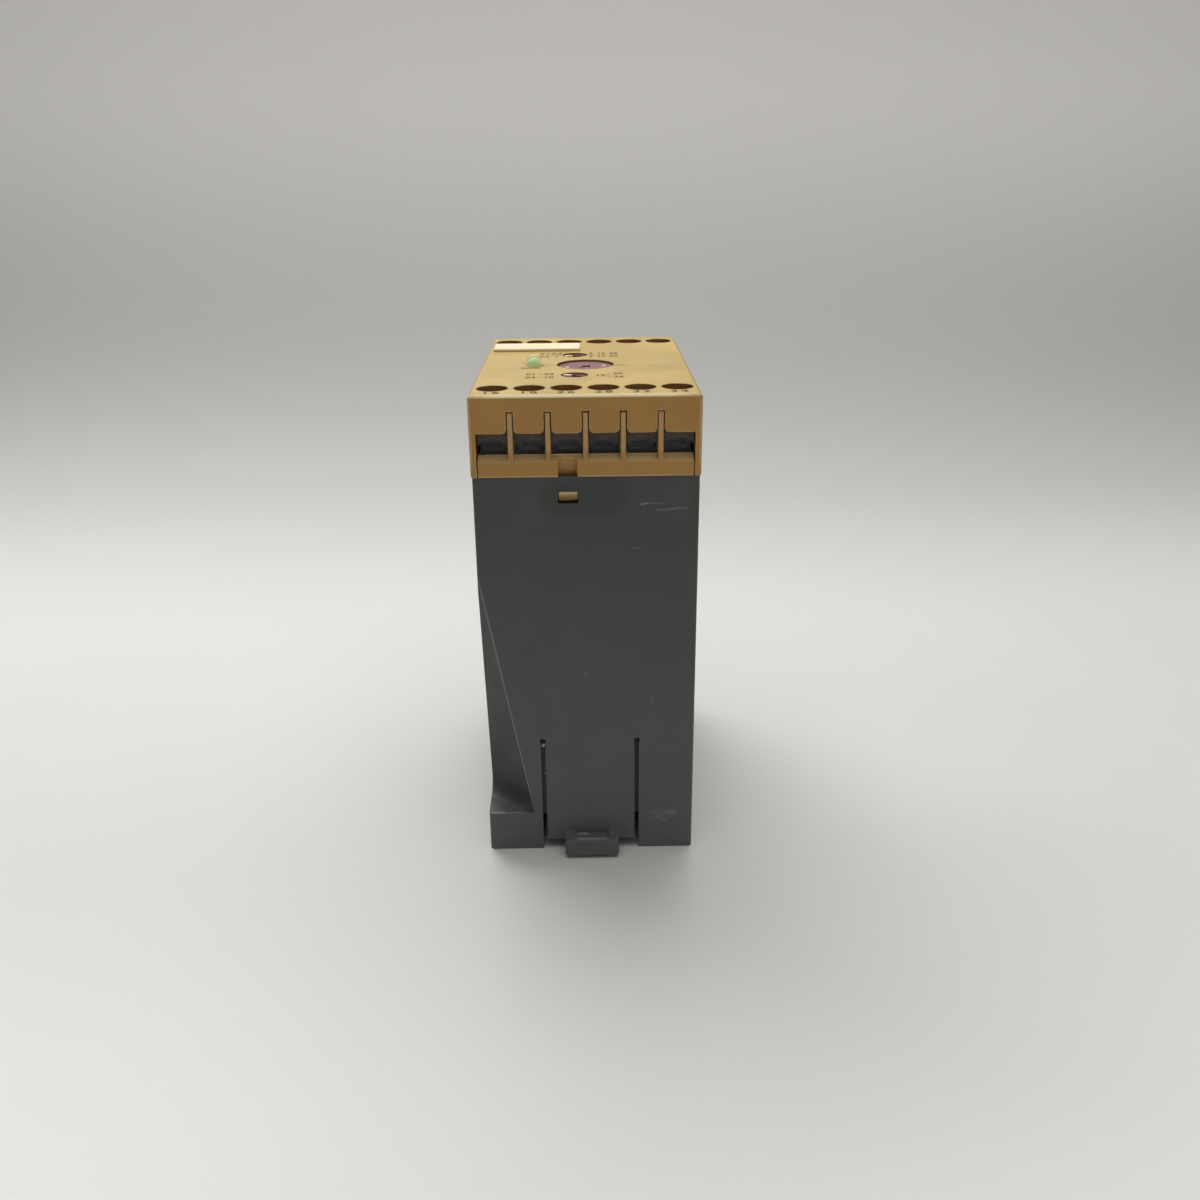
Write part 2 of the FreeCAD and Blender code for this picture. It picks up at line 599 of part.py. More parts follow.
def control_body(x, y, size, shaft_d, top):
    """Square body of a potentiometer or rotary switch on the front board, bored for its shaft."""
    collar_top = top - CONTROL_TOP_GAP
    body_top = (BOARD_TOP + collar_top) / 2
    body = box(x - size / 2, x + size / 2, y - size / 2, y + size / 2, BOARD_TOP, body_top)
    body = body.makeChamfer(BODY_BEVEL, edges_along(body, Z_AXIS))
    collar = rod(x, y, body_top, collar_top, shaft_d + (size - shaft_d) / 2)
    bore = rod(x, y, SHAFT_BOTTOM - SHAFT_CLEAR, collar_top + PAST, shaft_d + 2 * SHAFT_CLEAR)
    return joined([body, collar]).cut(bore)


def pointer(x, y, top, length, turn):
    """Arrow-shaped sinking for a screwdriver: a slot with a wider head, turned from +X."""
    half = POINTER_W / 2
    head = x + length / 2 - 2 * POINTER_W
    outline = [(x - length / 2, y - half), (head, y - half), (head, y - 3 * half),
               (x + length / 2, y), (head, y + 3 * half), (head, y + half), (x - length / 2, y + half)]
    arrow = prism([(px, py, top - POINTER_DEPTH) for px, py in outline], (0, 0, POINTER_DEPTH + PAST))
    arrow.rotate(V(x, y, 0), Z_AXIS, turn)
    return arrow


def turning_cap(x, y, diameter, bottom, top, shaft_d, pointer_l, turn):
    """Dial or selector: round cap with its shaft and a sunk arrow."""
    cap = rod(x, y, bottom, top, diameter)
    shaft = rod(x, y, SHAFT_BOTTOM, bottom, shaft_d)
    return joined([cap, shaft]).cut(pointer(x, y, top, pointer_l, turn))


def status_led():
    """LED: domed lens with flange, on two legs down to the board."""
    y = DIAL_Y + LED_Y
    flange_top = PANEL_UNDER
    flange_foot = flange_top - LED_FLANGE_T
    dome_base = PANEL_TOP + LED_OUT - LED_D / 2
    outline = [(0, flange_foot), (LED_D / 2 + LED_FLANGE, flange_foot),
               (LED_D / 2 + LED_FLANGE, flange_top), (LED_D / 2, flange_top)]
    for step in range(DOME_RINGS):
        turn = math.pi / 2 * step / DOME_RINGS
        outline.append((LED_D / 2 * math.cos(turn), dome_base + LED_D / 2 * math.sin(turn)))
    outline.append((0, dome_base + LED_D / 2))
    points = [V(LED_X + out, y, z) for out, z in outline]
    lens = Part.Face(Part.makePolygon(points + points[:1])).revolve(V(LED_X, y, 0), Z_AXIS, 360)
    legs = [post(x, y, BOARD_TOP, flange_top - LED_FLANGE_T / 2, LED_LEG)
            for x in (LED_X - LED_LEG_GAP, LED_X + LED_LEG_GAP)]
    return joined([lens] + legs)


def marker_plate():
    """Cream write-on plate on the panel, held by two pegs."""
    plate = box(MARKER_X - MARKER_W / 2, MARKER_X + MARKER_W / 2, MARKER_Y, MARKER_Y + MARKER_L,
                PANEL_TOP, PANEL_TOP + MARKER_T)
    plate = plate.makeChamfer(MARKER_CORNER, edges_along(plate, Z_AXIS))
    return joined([plate] + marker_pegs(MARKER_PEG_W, PANEL_UNDER, PANEL_TOP + MARKER_T / 2))


def pin_places():
    """Places of the connector's pins along Y."""
    return [(i - (PIN_COUNT - 1) / 2) * PIN_PITCH for i in range(PIN_COUNT)]


def front_board():
    """Board under the panel, with holes for the posts' pegs and the connector's pins."""
    half_x = COVER_IN - BOARD_SIDE_GAP
    board = box(-half_x, half_x, FRONT_NEAR, -FRONT_NEAR, BOARD_TOP - BOARD_T, BOARD_TOP)
    low = BOARD_TOP - BOARD_T - PAST
    high = BOARD_TOP + PAST
    cuts = [post(x, y, low, high, PEG_W + 2 * METAL_GAP)
            for x in (-POST_X, POST_X) for y in (-POST_Y, POST_Y)]
    x = MAIN_X - PIN_PITCH / 2
    cuts += [post(x, y, low, high, PIN_W + 2 * PIN_HOLE_GAP) for y in pin_places()]
    return board.cut(cuts)


def main_board():
    """Upright board in the base's guides."""
    return box(MAIN_X, MAIN_X + BOARD_T, MAIN_NEAR, MAIN_FAR, FLOOR_Z, MAIN_TOP)


def board_connector():
    """Pin strip on the main board, with pins up through the front board."""
    x = MAIN_X - PIN_PITCH / 2
    length = PIN_COUNT * PIN_PITCH / 2
    foot = MAIN_TOP - PIN_DROP
    strip = box(MAIN_X - PIN_PITCH, MAIN_X, -length, length, foot, foot + PIN_PITCH)
    pins = [post(x, y, foot + PIN_PITCH / 2, BOARD_TOP + PIN_OUT, PIN_W) for y in pin_places()]
    return joined([strip] + pins)


def transformer_place():
    """Middle of the transformer on the board, along Z."""
    return FLOOR_Z + PART_MARGIN + 3 * CORE_LEG


def transformer_core():
    """Laminated core with two windows round its middle leg."""
    z = transformer_place()
    depth = CORE_WINDOW + 2 * CORE_LEG
    y0 = TRANSFORMER_Y - CORE_STACK / 2
    y1 = TRANSFORMER_Y + CORE_STACK / 2
    core = box(MAIN_X - depth, MAIN_X, y0, y1, z - 3 * CORE_LEG, z + 3 * CORE_LEG)
    x0 = MAIN_X - depth + CORE_LEG
    x1 = MAIN_X - CORE_LEG
    windows = [box(x0, x1, y0 - PAST, y1 + PAST, z + a * CORE_LEG, z + b * CORE_LEG)
               for a, b in ((-2, -1), (1, 2))]
    return core.cut(windows)


def transformer_coil():
    """Wound bobbin round the middle leg, with two feet down to the board."""
    z = transformer_place()
    x0 = MAIN_X - CORE_WINDOW - CORE_LEG + COIL_GAP
    x1 = MAIN_X - CORE_LEG - COIL_GAP
    in_y = CORE_STACK / 2 + COIL_GAP
    out_y = CORE_STACK / 2 + COIL_OVERHANG
    out_z = 2 * CORE_LEG - COIL_GAP
    coil = box(x0, x1, TRANSFORMER_Y - out_y, TRANSFORMER_Y + out_y, z - out_z, z + out_z)
    coil = coil.makeChamfer(COIL_BEVEL, edges_along(coil, X_AXIS))
    leg_hole = box(x0 - PAST, x1 + PAST, TRANSFORMER_Y - in_y, TRANSFORMER_Y + in_y,
                   z - CORE_LEG - COIL_GAP, z + CORE_LEG + COIL_GAP)
    feet = [box(x1 - PAST, MAIN_X, TRANSFORMER_Y + a, TRANSFORMER_Y + b, z - CORE_LEG, z + CORE_LEG)
            for a, b in ((-out_y, -in_y), (in_y, out_y))]
    return joined([coil.cut(leg_hole)] + feet)


def output_relay(order):
    """Sealed relay on the main board, counted from the near edge."""
    y = MAIN_NEAR + PART_MARGIN + order * (RELAY_W + RELAY_SPACE)
    top = MAIN_TOP - PART_MARGIN - PIN_DROP
    case = box(MAIN_X - RELAY_H, MAIN_X, y, y + RELAY_W, top - RELAY_L, top)
    return case.makeChamfer(RELAY_EDGE, edges_along(case, X_AXIS))


def capacitor(y, z, diameter, height):
    """Can standing off the board along -X."""
    return prism([(MAIN_X, y + a, z + b) for a, b in ring(diameter, CAN_SIDES)], (-height, 0, 0))


def capacitor_row(order):
    """Height of a row of small parts above the transformer."""
    transformer_top = transformer_place() + 3 * CORE_LEG
    return transformer_top + CAP_SPACE + SUPPLY_CAP_D / 2 + order * (SUPPLY_CAP_D + CAP_SPACE)


def timer_chip():
    """Dual in-line timer chip on its two rows of legs."""
    z = FLOOR_Z + CHIP_Z
    y = MAIN_NEAR + PART_MARGIN + CHIP_L / 2
    top = MAIN_X - CHIP_STAND - CHIP_H
    body = box(top, MAIN_X - CHIP_STAND, y - CHIP_L / 2, y + CHIP_L / 2, z - CHIP_W / 2, z + CHIP_W / 2)
    legs = []
    for i in range(CHIP_LEGS):
        leg_y = y + (i - (CHIP_LEGS - 1) / 2) * CHIP_L / CHIP_LEGS
        legs.append(box(MAIN_X - CHIP_STAND - CHIP_H / 2, MAIN_X, leg_y - CHIP_LEG_W, leg_y + CHIP_LEG_W,
                        z - CHIP_W / 2 - CHIP_LEG_W, z - CHIP_W / 2))
        legs.append(box(MAIN_X - CHIP_STAND - CHIP_H / 2, MAIN_X, leg_y - CHIP_LEG_W, leg_y + CHIP_LEG_W,
                        z + CHIP_W / 2, z + CHIP_W / 2 + CHIP_LEG_W))
    return joined([body] + legs)


def surge_varistor():
    """Disc on two leads."""
    y = TRANSFORMER_Y - VARISTOR_D / 2 - CAP_SPACE / 2
    z = capacitor_row(1)
    x = MAIN_X - VARISTOR_STAND - VARISTOR_D / 2
    disc = Part.makeCylinder(VARISTOR_D / 2, VARISTOR_T, V(x, y - VARISTOR_T / 2, z), Y_AXIS)
    half = VARISTOR_LEAD / 2
    lead_z = [z - VARISTOR_D / 4, z + VARISTOR_D / 4]
    leads = [box(x, MAIN_X, y - half, y + half, along - half, along + half) for along in lead_z]
    return joined([disc] + leads)


def all_parts():
    """Every node of the relay by name."""
    comb = terminal_comb()
    block = terminal_block()
    row = list(enumerate(TERMINAL_X, 1))
    screws = [terminal_screw(x) for x in TERMINAL_X]
    cap_y = TRANSFORMER_Y + SUPPLY_CAP_D / 2
    parts = {
        "base_housing": base_housing(),
        "rail_latch_tongue": rail_latch_tongue(),
        "front_cover": front_cover(),
        "terminal_comb_near": comb,
        "terminal_comb_far": turned(comb),
        "terminal_block_near": block,
        "terminal_block_far": turned(block),
        "terminal_screws": Part.Compound(screws + [turned(screw) for screw in screws]),
        "marker_plate": marker_plate(),
        "time_potentiometer": control_body(DIAL_X, DIAL_Y, POT_SIZE, DIAL_SHAFT_D, DIAL_BOTTOM),
        "time_dial": turning_cap(DIAL_X, DIAL_Y, DIAL_D, DIAL_BOTTOM, DIAL_TOP, DIAL_SHAFT_D,
                                 DIAL_POINTER_L, DIAL_POINTER_TURN),
        "status_led": status_led(),
        "front_board": front_board(),
        "main_board": main_board(),
        "board_connector": board_connector(),
        "transformer_core": transformer_core(),
        "transformer_coil": transformer_coil(),
        "output_relay_a": output_relay(0),
        "output_relay_b": output_relay(1),
        "supply_capacitor": capacitor(cap_y, capacitor_row(0), SUPPLY_CAP_D, SUPPLY_CAP_H),
        "timing_capacitor": capacitor(cap_y, capacitor_row(1), TIMING_CAP_D, TIMING_CAP_H),
        "timer_chip": timer_chip(),
        "surge_varistor": surge_varistor(),
    }
    selectors = [("function", FUNCTION_Y, FUNCTION_POINTER_TURN), ("range", RANGE_Y, RANGE_POINTER_TURN)]
    for name, y, turn in selectors:
        parts[name + "_switch"] = control_body(SELECTOR_X, y, SWITCH_SIZE, SELECTOR_SHAFT_D, SELECTOR_BOTTOM)
        parts[name + "_selector"] = turning_cap(SELECTOR_X, y, SELECTOR_D, SELECTOR_BOTTOM, SELECTOR_TOP,
                                                SELECTOR_SHAFT_D, SELECTOR_D - 2 * POINTER_W, turn)
    for number, x in row:
        for kind, shape in (("clamp", terminal_clamp(x)), ("bar", terminal_bar(x))):
            parts["terminal_%s_%02d" % (kind, number)] = shape
            parts["terminal_%s_%02d" % (kind, number + TERMINALS)] = turned(shape)
    return parts


os.makedirs("parts", exist_ok=True)
for node, solid in all_parts().items():
    solid.exportStep(os.path.join("parts", node + ".step"))
    print("%-24s solids %d  valid %s  volume %.1f" % (node, len(solid.Solids), solid.isValid(), solid.Volume))
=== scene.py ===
import json
import math

import bmesh
import bpy
from mathutils import Matrix, Vector


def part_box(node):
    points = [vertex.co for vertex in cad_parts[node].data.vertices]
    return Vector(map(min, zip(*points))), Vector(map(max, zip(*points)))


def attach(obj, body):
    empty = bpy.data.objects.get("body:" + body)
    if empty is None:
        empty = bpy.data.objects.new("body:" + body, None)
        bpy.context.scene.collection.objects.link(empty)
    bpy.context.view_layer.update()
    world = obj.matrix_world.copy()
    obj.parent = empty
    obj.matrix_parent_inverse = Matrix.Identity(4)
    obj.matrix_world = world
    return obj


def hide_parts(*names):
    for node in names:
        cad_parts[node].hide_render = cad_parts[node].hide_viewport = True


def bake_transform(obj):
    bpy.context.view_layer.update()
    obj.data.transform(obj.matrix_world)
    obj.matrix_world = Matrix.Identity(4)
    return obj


# Multifunction timer relay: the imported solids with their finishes, the printed panel,
# the turned screws, dial, selectors and lamp, and a pale studio.
# Sizes are in millimetres in the solids' own frame: X across, -Y the near face, +Z up.

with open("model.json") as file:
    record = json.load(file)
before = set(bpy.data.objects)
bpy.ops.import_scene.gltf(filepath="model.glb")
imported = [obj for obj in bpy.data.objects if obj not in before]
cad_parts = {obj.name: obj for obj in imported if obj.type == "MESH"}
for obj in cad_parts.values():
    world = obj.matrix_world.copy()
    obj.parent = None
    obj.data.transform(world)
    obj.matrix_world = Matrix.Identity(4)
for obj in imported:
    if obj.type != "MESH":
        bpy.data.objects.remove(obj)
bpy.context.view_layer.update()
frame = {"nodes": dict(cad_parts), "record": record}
nodes = frame["nodes"]
MM = 0.001

# Camera of the photograph, for a frame of 1200 by 1200 pixels, and how near and far it sees in metres
PHOTO_PX = 1200
PHOTO_FOCAL_PX = 1116.9
SENSOR_WIDTH = 36.0
CLIP_NEAR = 0.01
CLIP_FAR = 20.0
CAMERA_AT = (-0.161, -247.115, 142.507)
CAMERA_YAW = 0.714
CAMERA_PITCH = 21.573
CAMERA_ROLL = 0.552

# Places read from the solids
PANEL_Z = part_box("front_cover")[1].z / MM
FACE_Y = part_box("base_housing")[0].y / MM
BLOCK_FRONT = -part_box("terminal_block_near")[0].y / MM
CLAMP_FRONT = -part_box("terminal_clamp_01")[0].y / MM
SCREW_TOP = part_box("terminal_screws")[1].z / MM

# Slanted cut in the base's near left corner, down to the ledge of the foot
SIDE_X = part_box("base_housing")[0].x / MM
LEDGE_Z = 9.3
CUT_TOP = Vector((SIDE_X, FACE_Y, 65.0))
CUT_FOOT = Vector((-12.3, FACE_Y, LEDGE_Z))
CUT_BACK = Vector((SIDE_X, FACE_Y + 12.2, LEDGE_Z))
CUT_OUT = (CUT_BACK - CUT_TOP).cross(CUT_FOOT - CUT_TOP).normalized()

# Rows of terminals
TERMINALS = 6
PITCH = 7.24
SCREW_Y = 29.25
NUMBER_Y = 33.9
TERMINAL_X = [(i - (TERMINALS - 1) / 2) * PITCH for i in range(TERMINALS)]

# Printed layer, rounded edges, and the relief of moulded plastic and of smoother surfaces
INK_LIFT = 0.012
INK_BOLD = 0.07
EDGE = 0.22
GRAIN_RELIEF = 0.04
FINE_RELIEF = 0.03


def srgb(red, green, blue):
    """Colour as a picture shows it, 0 to 255, in the linear values that shaders use."""
    channels = [c / 255 for c in (red, green, blue)]
    linear = [c / 12.92 if c <= 0.04045 else ((c + 0.055) / 1.055) ** 2.4 for c in channels]
    return (*linear, 1.0)


def shade(colour, factor):
    """The same colour, darker or lighter."""
    return (*[min(1.0, c * factor) for c in colour[:3]], 1.0)


class Wiring:
    """Puts nodes in one tree and joins them."""

    def __init__(self, tree):
        self.tree = tree

    def put(self, kind, feeds=None, **settings):
        node = self.tree.nodes.new("ShaderNode" + kind)
        for key, value in settings.items():
            setattr(node, key, value)
        for key, value in (feeds or {}).items():
            self.feed(value, node.inputs[key])
        return node

    def feed(self, value, socket):
        if isinstance(value, bpy.types.NodeSocket):
            self.tree.links.new(value, socket)
        else:
            socket.default_value = value

    def calc(self, operation, a, b=0.0, clamp=False):
        return self.put("Math", {0: a, 1: b}, operation=operation, use_clamp=clamp).outputs[0]

    def vector(self, operation, a, b=(0.0, 0.0, 0.0)):
        return self.put("VectorMath", {0: a, 1: b}, operation=operation).outputs

    def noise(self, at, scale, detail=2.0, roughness=0.5):
        feeds = {"Vector": at, "Scale": scale, "Detail": detail, "Roughness": roughness}
        return self.put("TexNoise", feeds).outputs["Fac"]

    def rise(self, value, low, high, start=0.0, end=1.0):
        feeds = {"Value": value, "From Min": low, "From Max": high, "To Min": start, "To Max": end}
        return self.put("MapRange", feeds, interpolation_type="SMOOTHSTEP").outputs["Result"]

    def blend(self, mask, a, b):
        """Mixes two colours, whose sockets the Mix node keeps at 6 and 7."""
        return self.put("Mix", {0: mask, 6: a, 7: b}, data_type="RGBA").outputs[2]

    def place(self):
        return self.put("TexCoord").outputs["Object"]

    def above(self, low, high):
        """Rises from 0 to 1 between two heights in millimetres."""
        height = self.put("SeparateXYZ", {0: self.place()}).outputs["Z"]
        return self.rise(height, low * MM, high * MM)

    def inside(self, outer, inner):
        """Rises from 0 to 1 from an end of the relay inwards, in millimetres from its middle."""
        depth = self.calc("ABSOLUTE", self.put("SeparateXYZ", {0: self.place()}).outputs["Y"])
        return self.rise(self.calc("MULTIPLY", depth, -1.0), -outer * MM, -inner * MM)

    def relief(self, shader, height, strength, depth):
        """Fine relief on a shader's surface, its depth in millimetres."""
        bump = self.put("Bump", {"Height": height, "Strength": strength, "Distance": depth * MM})
        self.feed(bump.outputs["Normal"], shader.inputs["Normal"])

    def group(self, tree, **feeds):
        node = self.tree.nodes.new("ShaderNodeGroup")
        node.node_tree = tree
        for key, value in feeds.items():
            self.feed(value, node.inputs[key])
        return node.outputs


def new_group(name, inputs, outputs):
    """Empty shader group with named sockets, and its two end nodes."""
    tree = bpy.data.node_groups.new(name, "ShaderNodeTree")
    for label, kind, start in inputs:
        socket = tree.interface.new_socket(label, in_out="INPUT", socket_type="NodeSocket" + kind)
        socket.default_value = start
    for label, kind in outputs:
        tree.interface.new_socket(label, in_out="OUTPUT", socket_type="NodeSocket" + kind)
    wiring = Wiring(tree)
    entry = tree.nodes.new("NodeGroupInput").outputs
    exit_node = tree.nodes.new("NodeGroupOutput").inputs
    return tree, wiring, entry, exit_node


def moulded_grain_group():
    """Fine spark-eroded grain and the broad, cloudy tone of a moulding."""
    tree, w, entry, leave = new_group(
        "moulded_grain",
        [("Grain", "Float", 3800.0), ("Cloud", "Float", 70.0)],
        [("Fine", "Float"), ("Broad", "Float")],
    )
    at = w.place()
    fine = w.noise(at, entry["Grain"], 3.0, 0.6)
    broad = w.noise(at, entry["Cloud"], 4.0, 0.55)
    w.feed(w.rise(fine, 0.3, 0.7), leave["Fine"])
    w.feed(w.rise(broad, 0.3, 0.7), leave["Broad"])
    return tree


def edge_rub_group():
    """Mask along edges, broken up as rubbed edges are."""
    tree, w, entry, leave = new_group(
        "edge_rub",
        [("Reach", "Float", 0.0004), ("Breaks", "Float", 300.0)],
        [("Mask", "Float")],
    )
    rounded = w.put("Bevel", {"Radius": entry["Reach"]}, samples=6).outputs[0]
    plain = w.put("NewGeometry").outputs["Normal"]
    facing = w.vector("DOT_PRODUCT", rounded, plain)["Value"]
    edge = w.rise(w.calc("SUBTRACT", 1.0, facing), 0.02, 0.24)
    broken = w.rise(w.noise(w.place(), entry["Breaks"], 4.0, 0.6), 0.36, 0.62)
    w.feed(w.calc("MULTIPLY", edge, broken, True), leave["Mask"])
    return tree


def handling_group():
    """Smears of handling, a film of dust on what faces up, and the share that faces up."""
    tree, w, entry, leave = new_group(
        "handling",
        [("Smear Size", "Float", 120.0), ("Dust Size", "Float", 1500.0)],
        [("Smear", "Float"), ("Dust", "Float"), ("Up", "Float")],
    )
    at = w.place()
    stretched = w.vector("MULTIPLY", at, (1.0, 1.0, 0.35))["Vector"]
    smear = w.rise(w.noise(stretched, entry["Smear Size"], 5.0, 0.6), 0.5, 0.72)
    up = w.put("SeparateXYZ", {0: w.put("NewGeometry").outputs["Normal"]}).outputs["Z"]
    specks = w.rise(w.noise(at, entry["Dust Size"], 2.0, 0.5), 0.52, 0.75)
    patches = w.noise(at, w.calc("MULTIPLY", entry["Dust Size"], 0.1), 3.0, 0.5)
    level = w.rise(up, 0.4, 0.9)
    w.feed(smear, leave["Smear"])
    w.feed(w.calc("MULTIPLY", level, w.calc("MULTIPLY", specks, patches)), leave["Dust"])
    w.feed(level, leave["Up"])
    return tree


def line_mask_group():
    """Mask along a line from one point to another, ragged as far as asked: scratches, smears, painted
    highlights and painted shade.
    """
    tree, w, entry, leave = new_group(
        "line_mask",
        [("From", "Vector", (0.0, 0.0, 0.0)), ("To", "Vector", (0.0, 0.0, 0.01)), ("Width", "Float", 0.0002),
         ("Ragged", "Float", 1.0), ("Tip", "Float", 0.35)],
        [("Mask", "Float")],
    )
    at = w.place()
    run = w.vector("SUBTRACT", entry["To"], entry["From"])["Vector"]
    out = w.vector("SUBTRACT", at, entry["From"])["Vector"]
    along = w.vector("DOT_PRODUCT", out, run)["Value"]
    whole = w.vector("DOT_PRODUCT", run, run)["Value"]
    share = w.calc("DIVIDE", along, whole, True)
    scaled = w.put("VectorMath", {0: run, "Scale": share}, operation="SCALE").outputs["Vector"]
    away = w.vector("LENGTH", w.vector("SUBTRACT", out, scaled)["Vector"])["Value"]
    ragged = w.rise(w.noise(at, 1600.0, 2.0, 0.6), 0.25, 0.75, -0.65, 0.15)
    ragged = w.calc("ADD", 1.0, w.calc("MULTIPLY", ragged, entry["Ragged"]))
    reach = w.calc("MULTIPLY", entry["Width"], ragged)
    nearness = w.calc("SUBTRACT", 1.0, w.calc("DIVIDE", away, reach), True)
    fade = w.calc("MULTIPLY", share, w.calc("SUBTRACT", 1.0, share))
    ends = w.rise(fade, 0.0, 0.12, entry["Tip"], 1.0)
    w.feed(w.calc("MULTIPLY", w.rise(nearness, 0.0, 0.7), ends), leave["Mask"])
    return tree


GRAIN = moulded_grain_group()
EDGE_RUB = edge_rub_group()
HANDLING = handling_group()
LINE_MASK = line_mask_group()


def new_material(name):
    """Empty material with its shader, ready for wiring."""
    material = bpy.data.materials.new(name)
    material.use_nodes = True
    shader = material.node_tree.nodes["Principled BSDF"]
    return material, Wiring(material.node_tree), shader


# Where the plastics change: heights below the panel, depths behind a block's front, distances from the
# middle along Y, heights on the base, and how far out from the slanted cut its painted shade reaches
FADED_AND_LIT_BELOW = (4.0, 1.0)
PALE_SILLS_BELOW = (9.0, 6.0)
CHAMBER_DEPTH = (1.0, 1.3)
HOLES_WITHIN = (NUMBER_Y + 0.6, NUMBER_Y)
SHADE_RAMP_TOP = 90.0
CUT_SHADE_TOP = 40.0
CUT_SKIN = 0.3
CUT_REACH = 9.0
LEDGE_SKIN = 0.2

# How much of each effect shows
DUST_GREY = srgb(178, 172, 160)
GRAIN_SHARE = 0.25
SMEAR_TONE = 1.35
SMEAR_POLISH = 0.08
RUB_SHARE = 0.75
RUB_POLISH = 0.12
ROUGH_SPREAD = 0.12


def moulded_plastic(name, colour, tone=0.10, rough=0.5, grain=3800.0, bump=0.10, cloud=70.0, rub=None,
                    rub_reach=0.4, dust=0.25, smear=0.10, line_marks=(), shade_ramp=None, faded_and_lit=None, pale_sills=None,
                    inner=None, hole_shade=None, cut=None, shine=0.5):
    """Moulded plastic: cloudy tone, fine grain, smears and dust, and where asked rubbed edges and line marks,
    which are scratches, painted highlights and painted shade.

    Where asked it is also brighter at the base's foot and darker at its head, painted light low down and
    painted shade under the cover; lighter and yellower on the panel's top, partly sun-faded and partly
    painted light; paler on up-facing surfaces well below the panel, such as sills; pale inside the chambers,
    painted light; darker on the walls in the holes, painted shade; and darker on the slanted cut and its
    ledge, painted shade given as the brightness at the foot and the head of the cut.
    """
    material, w, shader = new_material(name)
    shader.inputs["Specular IOR Level"].default_value = shine
    noise = w.group(GRAIN, Grain=grain, Cloud=cloud)
    handled = w.group(HANDLING)

    def cloudy(hue):
        return w.blend(noise["Broad"], shade(hue, 1 - tone), shade(hue, 1 + tone))

    body = cloudy(colour)
    # Painted light and shade on the base: brighter towards the foot, darker towards the head under the cover
    if shade_ramp:
        foot, head = shade_ramp
        body = w.blend(w.above(0.0, SHADE_RAMP_TOP), cloudy(shade(colour, foot)), cloudy(shade(colour, head)))
    body = w.blend(w.calc("MULTIPLY", noise["Fine"], GRAIN_SHARE), body, shade(colour, 1 - 2 * tone))
    # Up-facing panel top: sun-faded, and lighter than the fronts as painted light
    if faded_and_lit:
        high = w.above(*[PANEL_Z - below for below in FADED_AND_LIT_BELOW])
        body = w.blend(w.calc("MULTIPLY", handled["Up"], high), body, cloudy(faded_and_lit))
    # Paler on up-facing surfaces well below the panel, such as the sills
    if pale_sills:
        low = w.calc("SUBTRACT", 1.0, w.above(*[PANEL_Z - below for below in PALE_SILLS_BELOW]))
        body = w.blend(w.calc("MULTIPLY", handled["Up"], low), body, cloudy(pale_sills))
    # Pale inside of the terminal chambers: painted light, so the dark windows look lit
    if inner:
        body = w.blend(w.inside(*[BLOCK_FRONT - depth for depth in CHAMBER_DEPTH]), body, inner)
    # Painted shade on the walls in the screw, dial and selector holes
    if hole_shade:
        walls = w.calc("SUBTRACT", 1.0, handled["Up"])
        body = w.blend(w.calc("MULTIPLY", walls, w.inside(*HOLES_WITHIN)), body, hole_shade)
    # Painted shade on the slanted cut and its ledge, deepest at the foot
    if cut:
        foot, head = cut
        out = w.vector("DOT_PRODUCT", w.place(), CUT_OUT)["Value"]
        out = w.calc("SUBTRACT", out, CUT_OUT.dot(CUT_TOP) * MM)
        near = w.rise(out, -CUT_SKIN * MM, 0.0)
        near = w.calc("MULTIPLY", near, w.rise(out, 0.0, CUT_REACH * MM, 1.0, 0.0))
        shaded_cut = w.blend(w.above(LEDGE_Z, CUT_SHADE_TOP), shade(colour, foot), shade(colour, head))
        body = w.blend(w.calc("MULTIPLY", near, w.above(LEDGE_Z - LEDGE_SKIN, LEDGE_Z)), body, shaded_cut)
    body = w.blend(w.calc("MULTIPLY", handled["Smear"], smear), body, shade(colour, SMEAR_TONE))
    body = w.blend(w.calc("MULTIPLY", handled["Dust"], dust), body, DUST_GREY)
    worn = None
    if rub:
        worn = w.group(EDGE_RUB, Reach=rub_reach * MM)["Mask"]
        body = w.blend(w.calc("MULTIPLY", worn, RUB_SHARE), body, rub)
    for start, end, width, strength, mark in line_marks:
        feeds = {"From": [c * MM for c in start], "To": [c * MM for c in end], "Width": width * MM}
        # Wide smears have smoother sides and fuller ends than thin scratches
        feeds["Ragged"] = max(0.0, 1.0 - 2.0 * width)
        feeds["Tip"] = min(1.0, 0.35 + 0.1 * width)
        line = w.group(LINE_MASK, **feeds)["Mask"]
        body = w.blend(w.calc("MULTIPLY", line, strength), body, mark)
    w.feed(body, shader.inputs["Base Color"])
    gloss = w.calc("ADD", rough - ROUGH_SPREAD / 2, w.calc("MULTIPLY", noise["Broad"], ROUGH_SPREAD))
    gloss = w.calc("SUBTRACT", gloss, w.calc("MULTIPLY", handled["Smear"], SMEAR_POLISH))
    if worn:
        gloss = w.calc("SUBTRACT", gloss, w.calc("MULTIPLY", worn, RUB_POLISH))
    w.feed(gloss, shader.inputs["Roughness"])
    w.relief(shader, noise["Fine"], bump, GRAIN_RELIEF)
    return material


# Metal: depths behind a clamp's front and below a screw's crown, the tone there, the tones of the
# working marks, and how they and the tarnish roughen it
CLAMP_DEPTH = (0.05, 0.2)
CROWN_BELOW = (0.6, 0.3)
BELOW_CROWN_TONE = 0.22
METAL_TONES = (0.82, 1.08)
METAL_BUMP = 0.12
METAL_SPREAD = 0.16
TARNISH_ROUGH = 0.15


